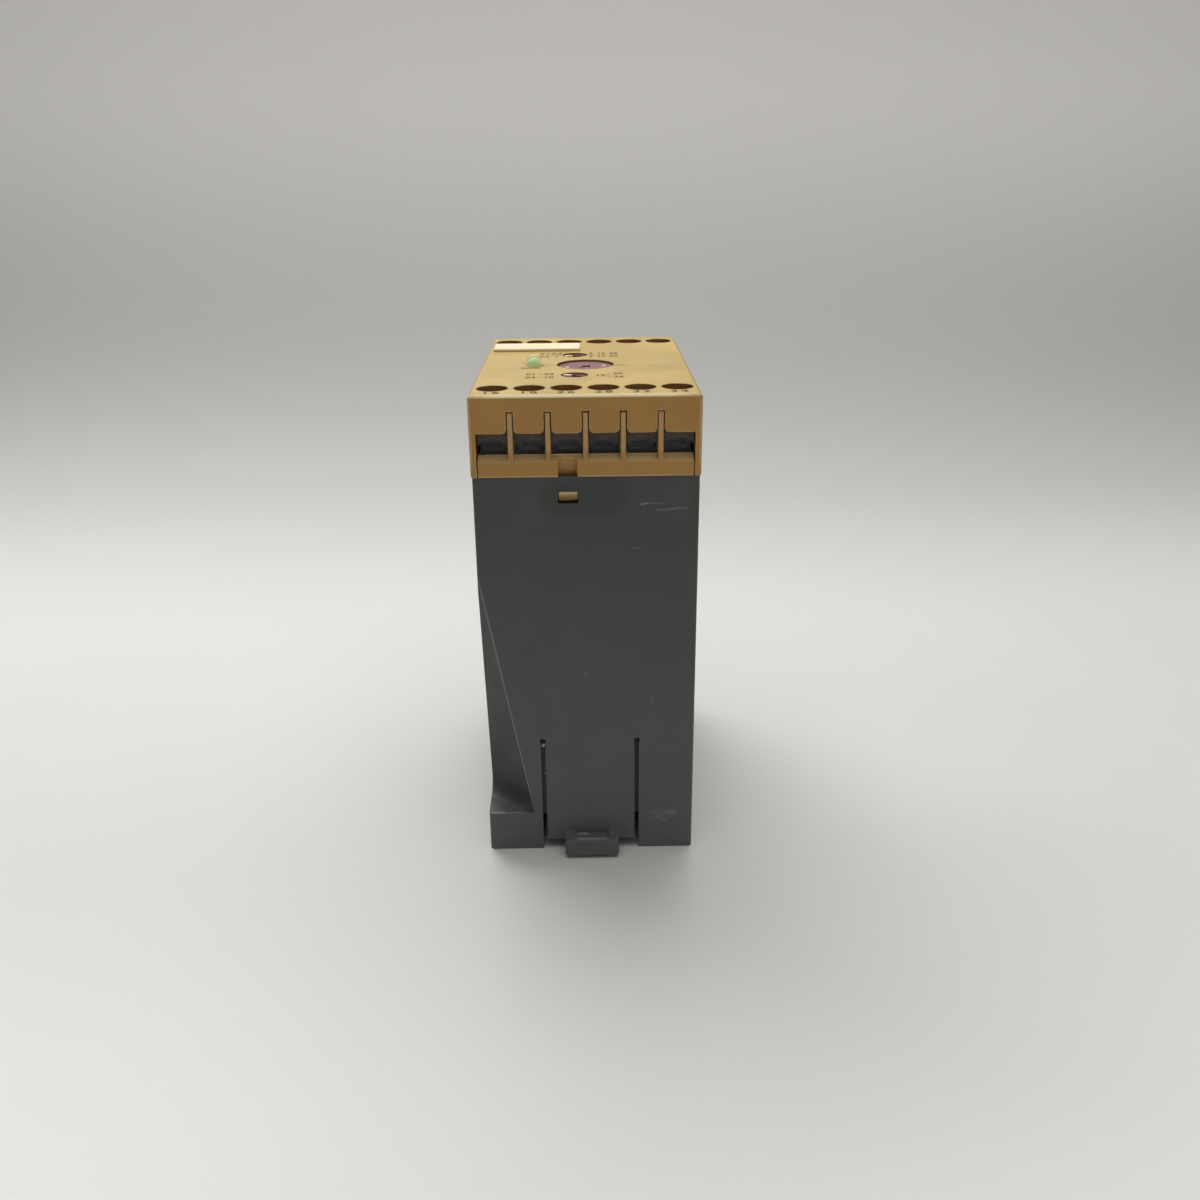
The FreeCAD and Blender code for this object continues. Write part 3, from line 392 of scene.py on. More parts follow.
def bright_metal(name, colour, rough, brushed=(1.0, 1.0, 1.0), tarnish=(96, 84, 66), tarnished=0.35,
                 metallic=1.0, inner=None, crown=None):
    """Metal with fine working marks, tarnish in patches, a pale inside in clamps as painted light, and darker
    below a crown.
    """
    material, w, shader = new_material(name)
    stretched = w.vector("MULTIPLY", w.place(), brushed)["Vector"]
    lines = w.noise(stretched, 2600.0, 4.0, 0.6)
    patches = w.rise(w.noise(w.place(), 420.0, 4.0, 0.6), 0.45, 0.75)
    body = w.blend(lines, *[shade(colour, tone) for tone in METAL_TONES])
    body = w.blend(w.calc("MULTIPLY", patches, tarnished), body, srgb(*tarnish))
    # Pale inside of the clamps: painted light on the cage floors
    if inner:
        body = w.blend(w.inside(*[CLAMP_FRONT - depth for depth in CLAMP_DEPTH]), body, inner)
    # Darker below the crown: the head's flanks and the slot floors
    if crown:
        on_crown = w.above(*[crown - below for below in CROWN_BELOW])
        body = w.blend(on_crown, shade(colour, BELOW_CROWN_TONE), body)
    w.feed(body, shader.inputs["Base Color"])
    shader.inputs["Metallic"].default_value = metallic
    gloss = w.calc("ADD", rough - METAL_SPREAD / 2, w.calc("MULTIPLY", lines, METAL_SPREAD))
    gloss = w.calc("ADD", gloss, w.calc("MULTIPLY", patches, TARNISH_ROUGH))
    w.feed(gloss, shader.inputs["Roughness"])
    w.relief(shader, lines, METAL_BUMP, FINE_RELIEF)
    return material


# Resin and ink: tones, how clear the resin is and how it bends light, shine, and roughness with its spread
RESIN_TONES = (0.94, 1.04)
RESIN_CLEAR = 0.92
RESIN_IOR = 1.42
RESIN_BUMP = 0.04
RESIN_ROUGH = (0.05, 0.08)
INK_SHINE = 0.12
INK_ROUGH = (0.6, 0.2)


def lamp_resin(name, colour):
    """Clear, faintly tinted resin of the lamp's dome."""
    material, w, shader = new_material(name)
    noise = w.group(GRAIN, Grain=5200.0, Cloud=900.0)
    body = w.blend(noise["Broad"], *[shade(colour, tone) for tone in RESIN_TONES])
    w.feed(body, shader.inputs["Base Color"])
    shader.inputs["Transmission Weight"].default_value = RESIN_CLEAR
    shader.inputs["IOR"].default_value = RESIN_IOR
    least, spread = RESIN_ROUGH
    gloss = w.calc("ADD", least, w.calc("MULTIPLY", noise["Fine"], spread))
    w.feed(gloss, shader.inputs["Roughness"])
    w.relief(shader, noise["Fine"], RESIN_BUMP, FINE_RELIEF)
    return material


def printed_ink(name, colour, thin):
    """Screen-printed ink, thin in places."""
    material, w, shader = new_material(name)
    noise = w.group(GRAIN, Grain=4200.0, Cloud=800.0)
    body = w.blend(w.calc("MULTIPLY", noise["Fine"], thin), colour, OCHRE)
    w.feed(body, shader.inputs["Base Color"])
    shader.inputs["Specular IOR Level"].default_value = INK_SHINE
    least, spread = INK_ROUGH
    w.feed(w.calc("ADD", least, w.calc("MULTIPLY", noise["Broad"], spread)), shader.inputs["Roughness"])
    return material


# Colours as they look in even light; some, as marked, carry painted light and painted shade
OCHRE = srgb(173, 128, 63)
# Panel top colour: sun-faded, and lighter than OCHRE as painted light
OCHRE_FADED_AND_LIT = srgb(192, 159, 68)
# Pale rubbed edges, also the colour of painted highlights along edges
OCHRE_RUB_AND_HIGHLIGHT = srgb(254, 234, 186)
# Paler colour of up-facing surfaces low on the cover, such as the sills
SILL_PALE = srgb(202, 169, 114)
# Painted shade on the lower part of the snap nose, recessed in its window
NOSE_SHADE = srgb(144, 124, 84)
DARK_GREY = srgb(84, 84, 84)
DARK_RUB = srgb(116, 115, 112)
# Painted light at the base's foot and painted shade at its head, under the cover
BASE_SHADE_RAMP = (1.34, 0.74)  # brightness at the foot and at the head of the base
# Painted shade on the slanted cut: its brightness at the foot and at the head
CUT_SHADE = (0.41, 0.80)  # the same for the slanted cut
# Pale marks: scratches and scuffs, painted highlights on edges, and painted light in the slits
PALE_MARK = srgb(170, 170, 168)
# Colour of painted shade, for the crease above the ledge and round the nose
SHADE_GREY = srgb(38, 37, 35)
BLOCK_BLACK = srgb(84, 72, 60)
# Painted light inside the terminal chambers
CHAMBER_PAINTED_LIGHT = srgb(224, 232, 244)
CREAM = srgb(247, 234, 195)
MAUVE = srgb(142, 92, 96)
DEEP_RED = srgb(98, 27, 26)
BRICK_RED = srgb(112, 56, 40)
ARROW_RED = srgb(110, 40, 44)
POINTER_WHITE = srgb(232, 224, 206)
LAMP_GREEN = srgb(172, 194, 156)
LAMP_RESIN = srgb(236, 244, 216)
INK_BROWN = srgb(62, 46, 30)
INK_RED = srgb(104, 38, 30)
# Faint glow of the unlit lamp's core: painted light for the light its translucent core gathers
LAMP_PAINTED_GLOW = 0.38

# Marks of use, painted highlights and painted shade. Each ends up as both its ends, its width, its strength
# and its colour.


def level_mark(x0, x1, y, z, width, strength, mark):
    """Mark that runs across the relay."""
    return ((x0, y, z), (x1, y, z), width, strength, mark)


def upright_mark(x, y, z0, z1, width, strength, mark):
    """Mark that runs up the relay."""
    return ((x, y, z0), (x, y, z1), width, strength, mark)


FACE_MARKS = [  # x and z of one end, x and z of the other, width and strength, all on the near face
    # Scratches at the right below the cover
    (10.7, 79.2, 12.1, 79.5, 0.30, 0.46),
    (12.1, 79.5, 15.2, 79.4, 0.26, 0.18),
    (13.4, 78.0, 16.0, 78.1, 0.36, 0.15),
    (16.0, 78.1, 18.4, 78.4, 0.28, 0.24),
    (18.4, 78.4, 19.9, 78.25, 0.26, 0.14),
    (9.2, 70.2, 10.6, 70.15, 0.30, 0.14),
    # Scuff on the right foot
    (13.6, 8.9, 14.6, 8.9, 1.00, 0.13),
    (14.4, 7.6, 15.6, 7.8, 0.90, 0.16),
    (16.2, 8.9, 18.0, 8.7, 1.10, 0.16),
    (17.6, 9.2, 18.6, 8.6, 0.60, 0.14),
    (15.3, 6.9, 16.6, 7.0, 0.60, 0.14),
    # Nicks in the middle
    (-0.6, 42.0, -0.6, 43.4, 0.28, 0.14),
    (13.2, 35.6, 13.2, 37.0, 0.30, 0.14),
]
TAB_EDGE_Y = FACE_Y - 3.6
TAB_STEP_Y = FACE_Y - 0.3
SLIT_X = 10.0
SLIT_WALL_Y = FACE_Y + 3.2
BASE_MARKS = [((x0, FACE_Y, z0), (x1, FACE_Y, z1), width, strength, PALE_MARK)
              for x0, z0, x1, z1, width, strength in FACE_MARKS]
BASE_MARKS += [
    level_mark(-3.3, 3.4, TAB_EDGE_Y, 4.66, 0.50, 0.55, PALE_MARK),
    level_mark(-3.0, -0.6, TAB_STEP_Y, 3.8, 0.60, 0.40, PALE_MARK),
    # Edges of the slanted cut and its ledge, pale as rubbed wear and painted highlight, painted shade in the
    # crease between them, and painted shade round the nose under the cover
    (CUT_TOP, CUT_FOOT, 0.30, 0.40, PALE_MARK),
    level_mark(SIDE_X, CUT_FOOT.x - 1.1, FACE_Y, LEDGE_Z, 0.26, 0.25, PALE_MARK),
    level_mark(-22.0, -18.6, FACE_Y, LEDGE_Z, 0.30, 0.60, PALE_MARK),
    ((-18.6, FACE_Y + 7.4, 10.8), (-13.6, FACE_Y + 2.2, 10.8), 3.6, 0.50, SHADE_GREY),
    level_mark(-5.0, 4.0, FACE_Y, 81.0, 6.0, 0.34, SHADE_GREY),
]
# Painted light on the wall behind each slit, so the slits look less dark
for side in (-1, 1):
    BASE_MARKS.append(upright_mark(side * SLIT_X, SLIT_WALL_Y, 5.0, 25.0, 1.5, 0.40, PALE_MARK))

# Edges of the cover and the combs drawn pale at both ends, partly rubbed by handling and partly painted
# highlight where they catch light
LEVEL_RUBS_AND_HIGHLIGHTS = [  # half length, distance from the middle along Y, height, width, strength
    (21.8, 36.10, PANEL_Z - 0.26, 0.52, 0.95),
    (21.0, 36.48, 85.1, 0.30, 0.22),
    (20.8, 34.66, 89.1, 0.30, 0.50),
]
CORNER_X = 22.3
CORNER_Y = 36.3
RIB_Y = 36.5
SILL_BACK_Y = -34.66
RUBS_AND_HIGHLIGHTS = []
for side in (-1, 1):
    for reach, out, z, width, strength in LEVEL_RUBS_AND_HIGHLIGHTS:
        RUBS_AND_HIGHLIGHTS.append(level_mark(-reach, reach, side * out, z, width, strength, OCHRE_RUB_AND_HIGHLIGHT))
    # Upright pale lines on the corners and on the ribs: rubbed wear and painted highlight
    for corner in (-1, 1):
        place = (corner * CORNER_X, side * CORNER_Y)
        RUBS_AND_HIGHLIGHTS.append(upright_mark(*place, 87.0, 101.0, 0.55, 0.26, OCHRE_RUB_AND_HIGHLIGHT))
    for left in TERMINAL_X[:-1]:
        place = (left + PITCH / 2, side * RIB_Y)
        RUBS_AND_HIGHLIGHTS.append(upright_mark(*place, 90.0, 97.8, 0.60, 0.14, OCHRE_RUB_AND_HIGHLIGHT))
# The sill's back edge above the notch, a painted highlight, and the snap nose with painted shade on its lower
# part and its rubbed upper edge, partly painted highlight
RUBS_AND_HIGHLIGHTS += [
    level_mark(-6.6, -0.8, SILL_BACK_Y, 89.1, 0.42, 0.90, OCHRE_RUB_AND_HIGHLIGHT),
    level_mark(-5.6, -1.5, FACE_Y + 0.3, 80.9, 1.20, 0.85, NOSE_SHADE),
    level_mark(-5.3, -1.8, FACE_Y - 0.3, 81.85, 0.42, 0.35, OCHRE_RUB_AND_HIGHLIGHT),
]

# Finishes by their slot in the record, then those of pieces that share a slot but look different
FINISHES = {
    "dark_plastic": moulded_plastic(
        "dark_plastic", DARK_GREY, tone=0.06, rough=0.62, grain=3400.0, bump=0.16, rub=DARK_RUB,
        rub_reach=0.35, dust=0.08, smear=0.10, line_marks=BASE_MARKS, shade_ramp=BASE_SHADE_RAMP,
        cut=CUT_SHADE, shine=0.32),
    "ochre_plastic": moulded_plastic(
        "ochre_plastic", OCHRE, tone=0.05, rough=0.40, grain=4200.0, bump=0.08, rub=OCHRE_RUB_AND_HIGHLIGHT,
        rub_reach=0.3, dust=0.12, smear=0.08, line_marks=RUBS_AND_HIGHLIGHTS, faded_and_lit=OCHRE_FADED_AND_LIT,
        pale_sills=SILL_PALE, hole_shade=shade(OCHRE, 0.62), shine=0.4),
    "black_plastic": moulded_plastic(
        "black_plastic", BLOCK_BLACK, tone=0.10, rough=0.6, rub=srgb(92, 82, 72), dust=0.5, smear=0.2,
        inner=CHAMBER_PAINTED_LIGHT, shine=0.3),
    "cream_plastic": moulded_plastic(
        "cream_plastic", CREAM, tone=0.03, rough=0.5, bump=0.05, rub=srgb(248, 238, 210), dust=0.10,
        shine=0.1),
    "pink_plastic": moulded_plastic(
        "pink_plastic", MAUVE, tone=0.07, rough=0.52, cloud=400.0, bump=0.05, rub=srgb(204, 172, 168),
        dust=0.15, shine=0.12),
    "red_plastic": moulded_plastic(
        "red_plastic", DEEP_RED, tone=0.10, rough=0.45, cloud=500.0, bump=0.05, rub=srgb(150, 70, 62),
        dust=0.2, shine=0.1),
    "green_lens": lamp_resin("green_lens", LAMP_RESIN),
    "plated_steel": bright_metal("plated_steel", srgb(190, 186, 176), rough=0.34, crown=SCREW_TOP),
    "bar_brass": bright_metal("bar_brass", srgb(202, 172, 104), rough=0.30, brushed=(1.0, 0.1, 1.0)),
    "core_steel": bright_metal("core_steel", srgb(120, 118, 116), rough=0.48, brushed=(0.02, 1.0, 0.02)),
    "coil_tape": moulded_plastic("coil_tape", srgb(198, 164, 64), tone=0.08, rough=0.4, cloud=260.0),
    "board_laminate": moulded_plastic("board_laminate", srgb(58, 92, 56), tone=0.10, rough=0.42, cloud=240.0),
    "relay_case": moulded_plastic(
        "relay_case", srgb(58, 74, 110), tone=0.06, rough=0.4, rub=srgb(120, 130, 150)),
    "capacitor_sleeve": moulded_plastic(
        "capacitor_sleeve", srgb(44, 52, 74), tone=0.08, rough=0.3, cloud=200.0),
}
# Clamp steel darkened, with heavy tarnish, as painted shade in the dark windows, and pale inside as painted
# light on the cage floors
CLAMP_STEEL = bright_metal(
    "clamp_steel", srgb(98, 96, 94), rough=0.6, tarnish=(80, 76, 72), tarnished=0.6, metallic=0.2,
    inner=srgb(216, 220, 228))
# The latch root carries the base's painted light and shade
ROOT_FINISH = moulded_plastic(
    "latch_root_plastic", DARK_GREY, tone=0.06, rough=0.62, grain=3400.0, bump=0.16, dust=0.22,
    shade_ramp=BASE_SHADE_RAMP, shine=0.32)
BURR_FINISH = moulded_plastic("burr_plastic", srgb(176, 174, 168), tone=0.10, rough=0.35, cloud=900.0)
LAMP_CORE = moulded_plastic("lamp_core", LAMP_GREEN, tone=0.06, rough=0.4, cloud=900.0, dust=0.1)
# The lamp core glows faintly as painted light
core_shader = LAMP_CORE.node_tree.nodes["Principled BSDF"]
core_shader.inputs["Emission Color"].default_value = LAMP_GREEN
core_shader.inputs["Emission Strength"].default_value = LAMP_PAINTED_GLOW
BRICK_SELECTOR = moulded_plastic(
    "brick_selector", BRICK_RED, tone=0.10, rough=0.45, cloud=500.0, bump=0.05, rub=srgb(160, 100, 76),
    dust=0.2, shine=0.1)
SUNK_ARROW = moulded_plastic("sunk_arrow", ARROW_RED, tone=0.12, rough=0.6, cloud=700.0, dust=0.2, shine=0.1)
POINTER_FINISH = moulded_plastic("pointer_white", POINTER_WHITE, tone=0.03, rough=0.45, cloud=700.0, dust=0.2)
CREAM_POINTER = moulded_plastic(
    "pointer_cream", srgb(226, 206, 160), tone=0.04, rough=0.45, cloud=700.0, dust=0.2)
PANEL_INK = printed_ink("panel_ink", INK_BROWN, thin=0.15)
RED_INK = printed_ink("red_ink", INK_RED, thin=0.2)


# Angles in degrees: faces this near to flat are one face, edges this sharp are rounded or stay sharp
FLAT_ANGLE = 1.0
ROUNDED_ANGLE = 35.0
SHARP_ANGLE = 32.0
CAP_SHARP_ANGLE = 30.0
SCREW_SHARP_ANGLE = 28.0
LAMP_SHARP_ANGLE = 40.0
WELD_GAP = 0.001


def new_object(name, data):
    """New object in the scene."""
    obj = bpy.data.objects.new(name, data)
    bpy.context.scene.collection.objects.link(obj)
    return obj


def dress(name, finish):
    """Gives a solid its finish."""
    for slot in nodes[name].material_slots:
        slot.material = finish


def soften(name, width):
    """Rounds a solid's sharp edges a little, as a mould does."""
    obj = nodes[name]
    weld = obj.modifiers.new("weld", "WELD")
    weld.merge_threshold = WELD_GAP * MM
    flat = obj.modifiers.new("flat", "DECIMATE")
    flat.decimate_type = "DISSOLVE"
    flat.angle_limit = math.radians(FLAT_ANGLE)
    edge = obj.modifiers.new("edge", "BEVEL")
    edge.width = width * MM
    edge.segments = 2
    edge.limit_method = "ANGLE"
    edge.angle_limit = math.radians(ROUNDED_ANGLE)
    even = obj.modifiers.new("even", "WEIGHTED_NORMAL")
    even.keep_sharp = True


def piece(name, mesh, finishes, body, stands_for=()):
    """New piece of the relay that moves with a body."""
    for finish in finishes:
        mesh.materials.append(finish)
    obj = new_object(name, mesh)
    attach(obj, body)
    if stands_for:
        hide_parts(*stands_for)


def to_mesh(bm, name, sharp=SHARP_ANGLE):
    """Mesh with smooth faces and sharp edges where the form turns."""
    bmesh.ops.recalc_face_normals(bm, faces=bm.faces[:])
    mesh = bpy.data.meshes.new(name)
    bm.to_mesh(mesh)
    bm.free()
    mesh.shade_smooth()
    mesh.set_sharp_from_angle(angle=math.radians(sharp))
    return mesh


def lathe(bm, x, y, profile, steps=56):
    """Turned form on an upright axis, from pairs of radius and height."""
    rings = []
    for radius, z in profile:
        count = steps if radius > 0 else 1
        turns = [2 * math.pi * i / steps for i in range(count)]
        spots = [(x + radius * math.cos(a), y + radius * math.sin(a), z) for a in turns]
        rings.append([bm.verts.new([c * MM for c in spot]) for spot in spots])
    for low, high in zip(rings, rings[1:]):
        for i in range(steps):
            j = i + 1
            corners = [low[i % len(low)], low[j % len(low)], high[j % len(high)], high[i % len(high)]]
            bm.faces.new(list(dict.fromkeys(corners)))


def join_rings(bm, low, high):
    """Faces between two rings of as many corners."""
    for i in range(len(low)):
        j = (i + 1) % len(low)
        bm.faces.new([low[i], low[j], high[j], high[i]])


def slab(bm, outline, z0, z1):
    """Upright block over a flat outline."""
    low = [bm.verts.new((px * MM, py * MM, z0 * MM)) for px, py in outline]
    high = [bm.verts.new((px * MM, py * MM, z1 * MM)) for px, py in outline]
    bm.faces.new(list(reversed(low)))
    bm.faces.new(high)
    join_rings(bm, low, high)


def add_copy(bm, mesh, move):
    """Adds a mesh, moved to its place."""
    start = len(bm.verts)
    bm.from_mesh(mesh)
    bm.verts.ensure_lookup_table()
    bmesh.ops.transform(bm, matrix=move, verts=bm.verts[start:])


def baked(obj):
    """Mesh of an object as it ends up."""
    return bpy.data.meshes.new_from_object(obj.evaluated_get(bpy.context.evaluated_depsgraph_get()))


def carved(mesh, cutter):
    """The first mesh with the second cut out of it."""
    solid = new_object("solid", mesh)
    tool = new_object("tool", cutter)
    cut = solid.modifiers.new("cut", "BOOLEAN")
    cut.object = tool
    cut.operation = "DIFFERENCE"
    cut.solver = "EXACT"
    result = baked(solid)
    for obj in (solid, tool):
        bpy.data.objects.remove(obj)
    return result


def turned_about(outline, x, y, degrees):
    """Flat outline turned about a point and moved there."""
    turn = math.radians(degrees)
    c = math.cos(turn)
    s = math.sin(turn)
    return [(x + px * c - py * s, y + px * s + py * c) for px, py in outline]


def oblong(half_x, half_y):
    """Outline of a flat oblong about its middle."""
    return [(-half_x, -half_y), (half_x, -half_y), (half_x, half_y), (-half_x, half_y)]


def upright(node):
    """An upright solid's middle across and along, its foot, its top and its radius, in millimetres."""
    low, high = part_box(node)
    x = (low.x + high.x) / 2 / MM
    y = (low.y + high.y) / 2 / MM
    return x, y, low.z / MM, high.z / MM, (high.x - low.x) / 2 / MM


# Solids that keep their own shape
SOFT_EDGES = {
    "base_housing": EDGE,
    "rail_latch_tongue": EDGE,
    "front_cover": 0.12,
    "terminal_comb_near": 0.15,
    "terminal_comb_far": 0.15,
    "terminal_block_near": 0.15,
    "terminal_block_far": 0.15,
    "marker_plate": 0.2,
}
for entry in frame["record"]["subparts"]:
    is_clamp = entry["node"].startswith("terminal_clamp")
    dress(entry["node"], CLAMP_STEEL if is_clamp else FINISHES[entry["material_slot"]])
for node, width in SOFT_EDGES.items():
    soften(node, width)


# Clamp screw: the head's height, then radii with heights above the foot, above the head's underside and
# below the top, its crossed slots, and the turn at which each one stopped
SCREW_HEAD = 1.8
SCREW_FOOT = ((0, 0), (1.3, 0), (1.5, 0.25))
SCREW_NECK = ((1.5, 0), (2.3, 0), (2.5, 0.2))
SCREW_CROWN = ((2.5, 0.55), (2.38, 0.28), (2.1, 0.1), (1.5, 0.02), (0, 0))
SCREW_SLOTS = ((3.0, 0.4, 0.9), (0.4, 1.5, 0.7))  # half length and half width either way, depth
SCREW_TURNS = (12, 78, -24, 41, 95, 5, 63, -48, 20, 110, -10, 34)


def clamp_screws():
    """Twelve clamp screws with crossed slots, each stopped at its own turn."""
    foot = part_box("terminal_screws")[0].z / MM
    top = SCREW_TOP
    under = top - SCREW_HEAD
    profile = [(radius, foot + rise) for radius, rise in SCREW_FOOT]
    profile += [(radius, under + rise) for radius, rise in SCREW_NECK]
    profile += [(radius, top - drop) for radius, drop in SCREW_CROWN]
    bm = bmesh.new()
    lathe(bm, 0, 0, profile)
    screw = to_mesh(bm, "screw_blank")
    for half_x, half_y, depth in SCREW_SLOTS:
        bm = bmesh.new()
        slab(bm, oblong(half_x, half_y), top - depth, top + 1)
        screw = carved(screw, to_mesh(bm, "slot_tool"))
    bm = bmesh.new()
    places = [(x, side * SCREW_Y) for side in (-1, 1) for x in TERMINAL_X]
    for (x, y), turn in zip(places, SCREW_TURNS):
        turned = Matrix.Rotation(math.radians(turn), 4, "Z")
        add_copy(bm, screw, Matrix.Translation((x * MM, y * MM, 0)) @ turned)
    mesh = to_mesh(bm, "clamp_screws", SCREW_SHARP_ANGLE)
    finish = FINISHES["plated_steel"]
    piece("clamp_screws", mesh, [finish], "housing", ["terminal_screws"])


# Dial and selectors. A form is the shaft's radius, the cap's height, the rim and the floor's drop.
DIAL_FORM = (3.0, 2.2, (0.25, 0.6, 0.75), 0.06)
SELECTOR_FORM = (2.0, 2.9, (0.22, 0.5, 0.62), 0.12)
CAP_BEVEL = 0.2
CAP_ROUNDING = (0.08, 0.05)  # in from the edge and below the top
CAP_STEPS = 72

# Sunk arrow: width, depth, and how far past its floor and below its lip its faces are looked for
ARROW_W = 0.9
ARROW_DEPTH = 0.6
ARROW_SLACK = 0.05
ARROW_LIP = 0.1
DIAL_ARROW = 3.4
DIAL_TURN = 45
SELECTOR_ARROW = 3.3

# End marks: place from the dial's middle, and radii with heights over its floor
END_MARK_AT = (3.95, 0.6)
END_MARK_FORM = ((0, -0.1), (0.5, -0.1), (0.46, 0.03), (0, 0.04))
END_MARK_STEPS = 20

# Pointer: start from the middle, half width there and at its tip, the tip's distance from the edge, heights
# over the arrow's floor and the cap's top, and rounding
POINTER_START = 0.7
POINTER_HALF = (0.6, 0.42)
POINTER_BACK = 0.12
POINTER_LIFT = 0.02
POINTER_RISE = 0.12
POINTER_ROUND = 0.06


def arrow_outline(length):
    """Arrow pointing along +X about its middle: a slot with a wider head."""
    half = ARROW_W / 2
    head = length / 2 - 2 * ARROW_W
    return [(-length / 2, -half), (head, -half), (head, -3 * half), (length / 2, 0), (head, 3 * half),
            (head, half), (-length / 2, half)]


def cap_profile(foot, top, radius, shaft, height, rim, floor_drop):
    """Half section of a cap on its shaft: a rim, given as distances in from the edge, round a sunk floor."""
    under = top - height
    floor = top - floor_drop
    inset, drop = CAP_ROUNDING
    return [(0, foot), (shaft, foot), (shaft, under), (radius - CAP_BEVEL, under),
            (radius, under + CAP_BEVEL), (radius, top - CAP_BEVEL), (radius - inset, top - drop),
            (radius - rim[0], top), (radius - rim[1], top), (radius - rim[2], floor), (0, floor)]


def turning_cap(name, node, finishes, form, arrow_length, turn):
    """Dial or selector: turned cap with a sunk arrow whose floor has a finish of its own."""
    x, y, foot, top, radius = upright(node)
    bm = bmesh.new()
    lathe(bm, x, y, cap_profile(foot, top, radius, *form), CAP_STEPS)
    blank = to_mesh(bm, "cap_blank")
    bm = bmesh.new()
    slab(bm, turned_about(arrow_outline(arrow_length), x, y, turn), top - ARROW_DEPTH, top + 1)
    cap = carved(blank, to_mesh(bm, "arrow_tool"))
    cap.shade_smooth()
    cap.set_sharp_from_angle(angle=math.radians(CAP_SHARP_ANGLE))
    piece(name, cap, finishes, node, [node])
    for face in cap.polygons:
        middle = face.center / MM
        inside = math.hypot(middle.x - x, middle.y - y) < arrow_length / 2
        sunk = top - ARROW_DEPTH - ARROW_SLACK < middle.z < top - ARROW_LIP
        face.material_index = 1 if sunk and inside else 0
    return x, y, top, radius


def time_dial():
    """Mauve dial with a low rim, the sunk arrow and two pale end marks."""
    finishes = [FINISHES["pink_plastic"], SUNK_ARROW]
    x, y, top = turning_cap(
        "dial_cap", "time_dial", finishes, DIAL_FORM, DIAL_ARROW, DIAL_TURN)[:3]
    floor = top - DIAL_FORM[-1]
    mark = [(radius, floor + rise) for radius, rise in END_MARK_FORM]
    bm = bmesh.new()
    for side in (-1, 1):
        lathe(bm, x + side * END_MARK_AT[0], y + side * END_MARK_AT[1], mark, END_MARK_STEPS)
    piece("dial_end_marks", to_mesh(bm, "dial_end_marks"), [POINTER_FINISH], "time_dial")


def selector(name, node, turn, cap_finish, pointer_finish):
    """Small selector with a ring round its edge and a pale pointer along its arrow."""
    finishes = [cap_finish, SUNK_ARROW]
    x, y, top, radius = turning_cap(
        name, node, finishes, SELECTOR_FORM, SELECTOR_ARROW, turn)
    tip = radius - POINTER_BACK
    wide, thin = POINTER_HALF
    wedge = [(POINTER_START, -wide), (tip, -thin), (tip, thin), (POINTER_START, wide)]
    bm = bmesh.new()
    slab(bm, turned_about(wedge, x, y, turn), top - ARROW_DEPTH + POINTER_LIFT, top + POINTER_RISE)
    bmesh.ops.bevel(
        bm, geom=bm.edges[:], offset=POINTER_ROUND * MM, segments=2, affect="EDGES", profile=0.5)
    piece(name + "_pointer", to_mesh(bm, name + "_pointer"), [pointer_finish], node)


def dome(radius, top, steps):
    """Profile of a half ball that ends at a height."""
    turns = [math.pi / 2 * i / steps for i in range(steps)]
    return [(radius * math.cos(a), top - radius + radius * math.sin(a)) for a in turns] + [(0, top)]


# Lamp: radii of the dome, its flange and the core in it, heights, its two square legs, and the steps up and
# round both domes
LENS_R = 1.5
FLANGE_R = 1.9
FLANGE_DROP = 1.6
FLANGE_H = 1.0
CORE_R = 1.1
CORE_DROP = 1.0
CORE_LIFT = 0.1
LEG_X = 1.27
LEG_HALF = 0.25
LENS_STEPS = (12, 48)
CORE_STEPS = (10, 40)


def status_lamp():
    """Clear dome with its flange over a green core, on two legs."""
    x, y, foot, top = upright("status_led")[:4]
    flange_top = PANEL_Z - FLANGE_DROP
    flange_foot = flange_top - FLANGE_H
    bm = bmesh.new()
    skirt = [(0, flange_foot), (FLANGE_R, flange_foot), (FLANGE_R, flange_top), (LENS_R, flange_top)]
    lathe(bm, x, y, skirt + dome(LENS_R, top, LENS_STEPS[0]), LENS_STEPS[1])
    lens = to_mesh(bm, "lamp_lens", LAMP_SHARP_ANGLE)
    piece("lamp_lens", lens, [FINISHES["green_lens"]], "housing", ["status_led"])
    bm = bmesh.new()
    core_foot = flange_foot + CORE_LIFT
    sole = [(0, core_foot), (CORE_R, core_foot)]
    lathe(bm, x, y, sole + dome(CORE_R, top - CORE_DROP, CORE_STEPS[0]), CORE_STEPS[1])
    for side in (-1, 1):
        slab(bm, turned_about(oblong(LEG_HALF, LEG_HALF), x + side * LEG_X, y, 0), foot, flange_foot)
    core = to_mesh(bm, "lamp_core", LAMP_SHARP_ANGLE)
    piece("lamp_core", core, [LAMP_CORE], "housing")


BURRS = ((-9.98, 25.7, 0.36), (-9.9, 18.8, 0.18))  # x, height and radius
BURR_DEPTH = 0.4


def slit_burrs():
    """Two pale flecks of flash left by the mould in the left slit."""
    bm = bmesh.new()
    for x, z, radius in BURRS:
        at = Matrix.Translation((x * MM, (FACE_Y + BURR_DEPTH) * MM, z * MM))
        bmesh.ops.create_icosphere(bm, subdivisions=3, radius=radius * MM, matrix=at)
    piece("slit_burrs", to_mesh(bm, "slit_burrs"), [BURR_FINISH], "housing")


# Rounding above the foot's ledge: its radius, how far its skin and root lie under the base's surface, how far
# it stands back from the outer faces, its overshoot before it is trimmed there, and the steps of its arc
FILLET_R = 3.0
FILLET_SUNK = 0.02
FILLET_ROOT = 0.3
FILLET_BACK = 0.02
FILLET_OVERSHOOT = 8.0
FILLET_STEPS = 14


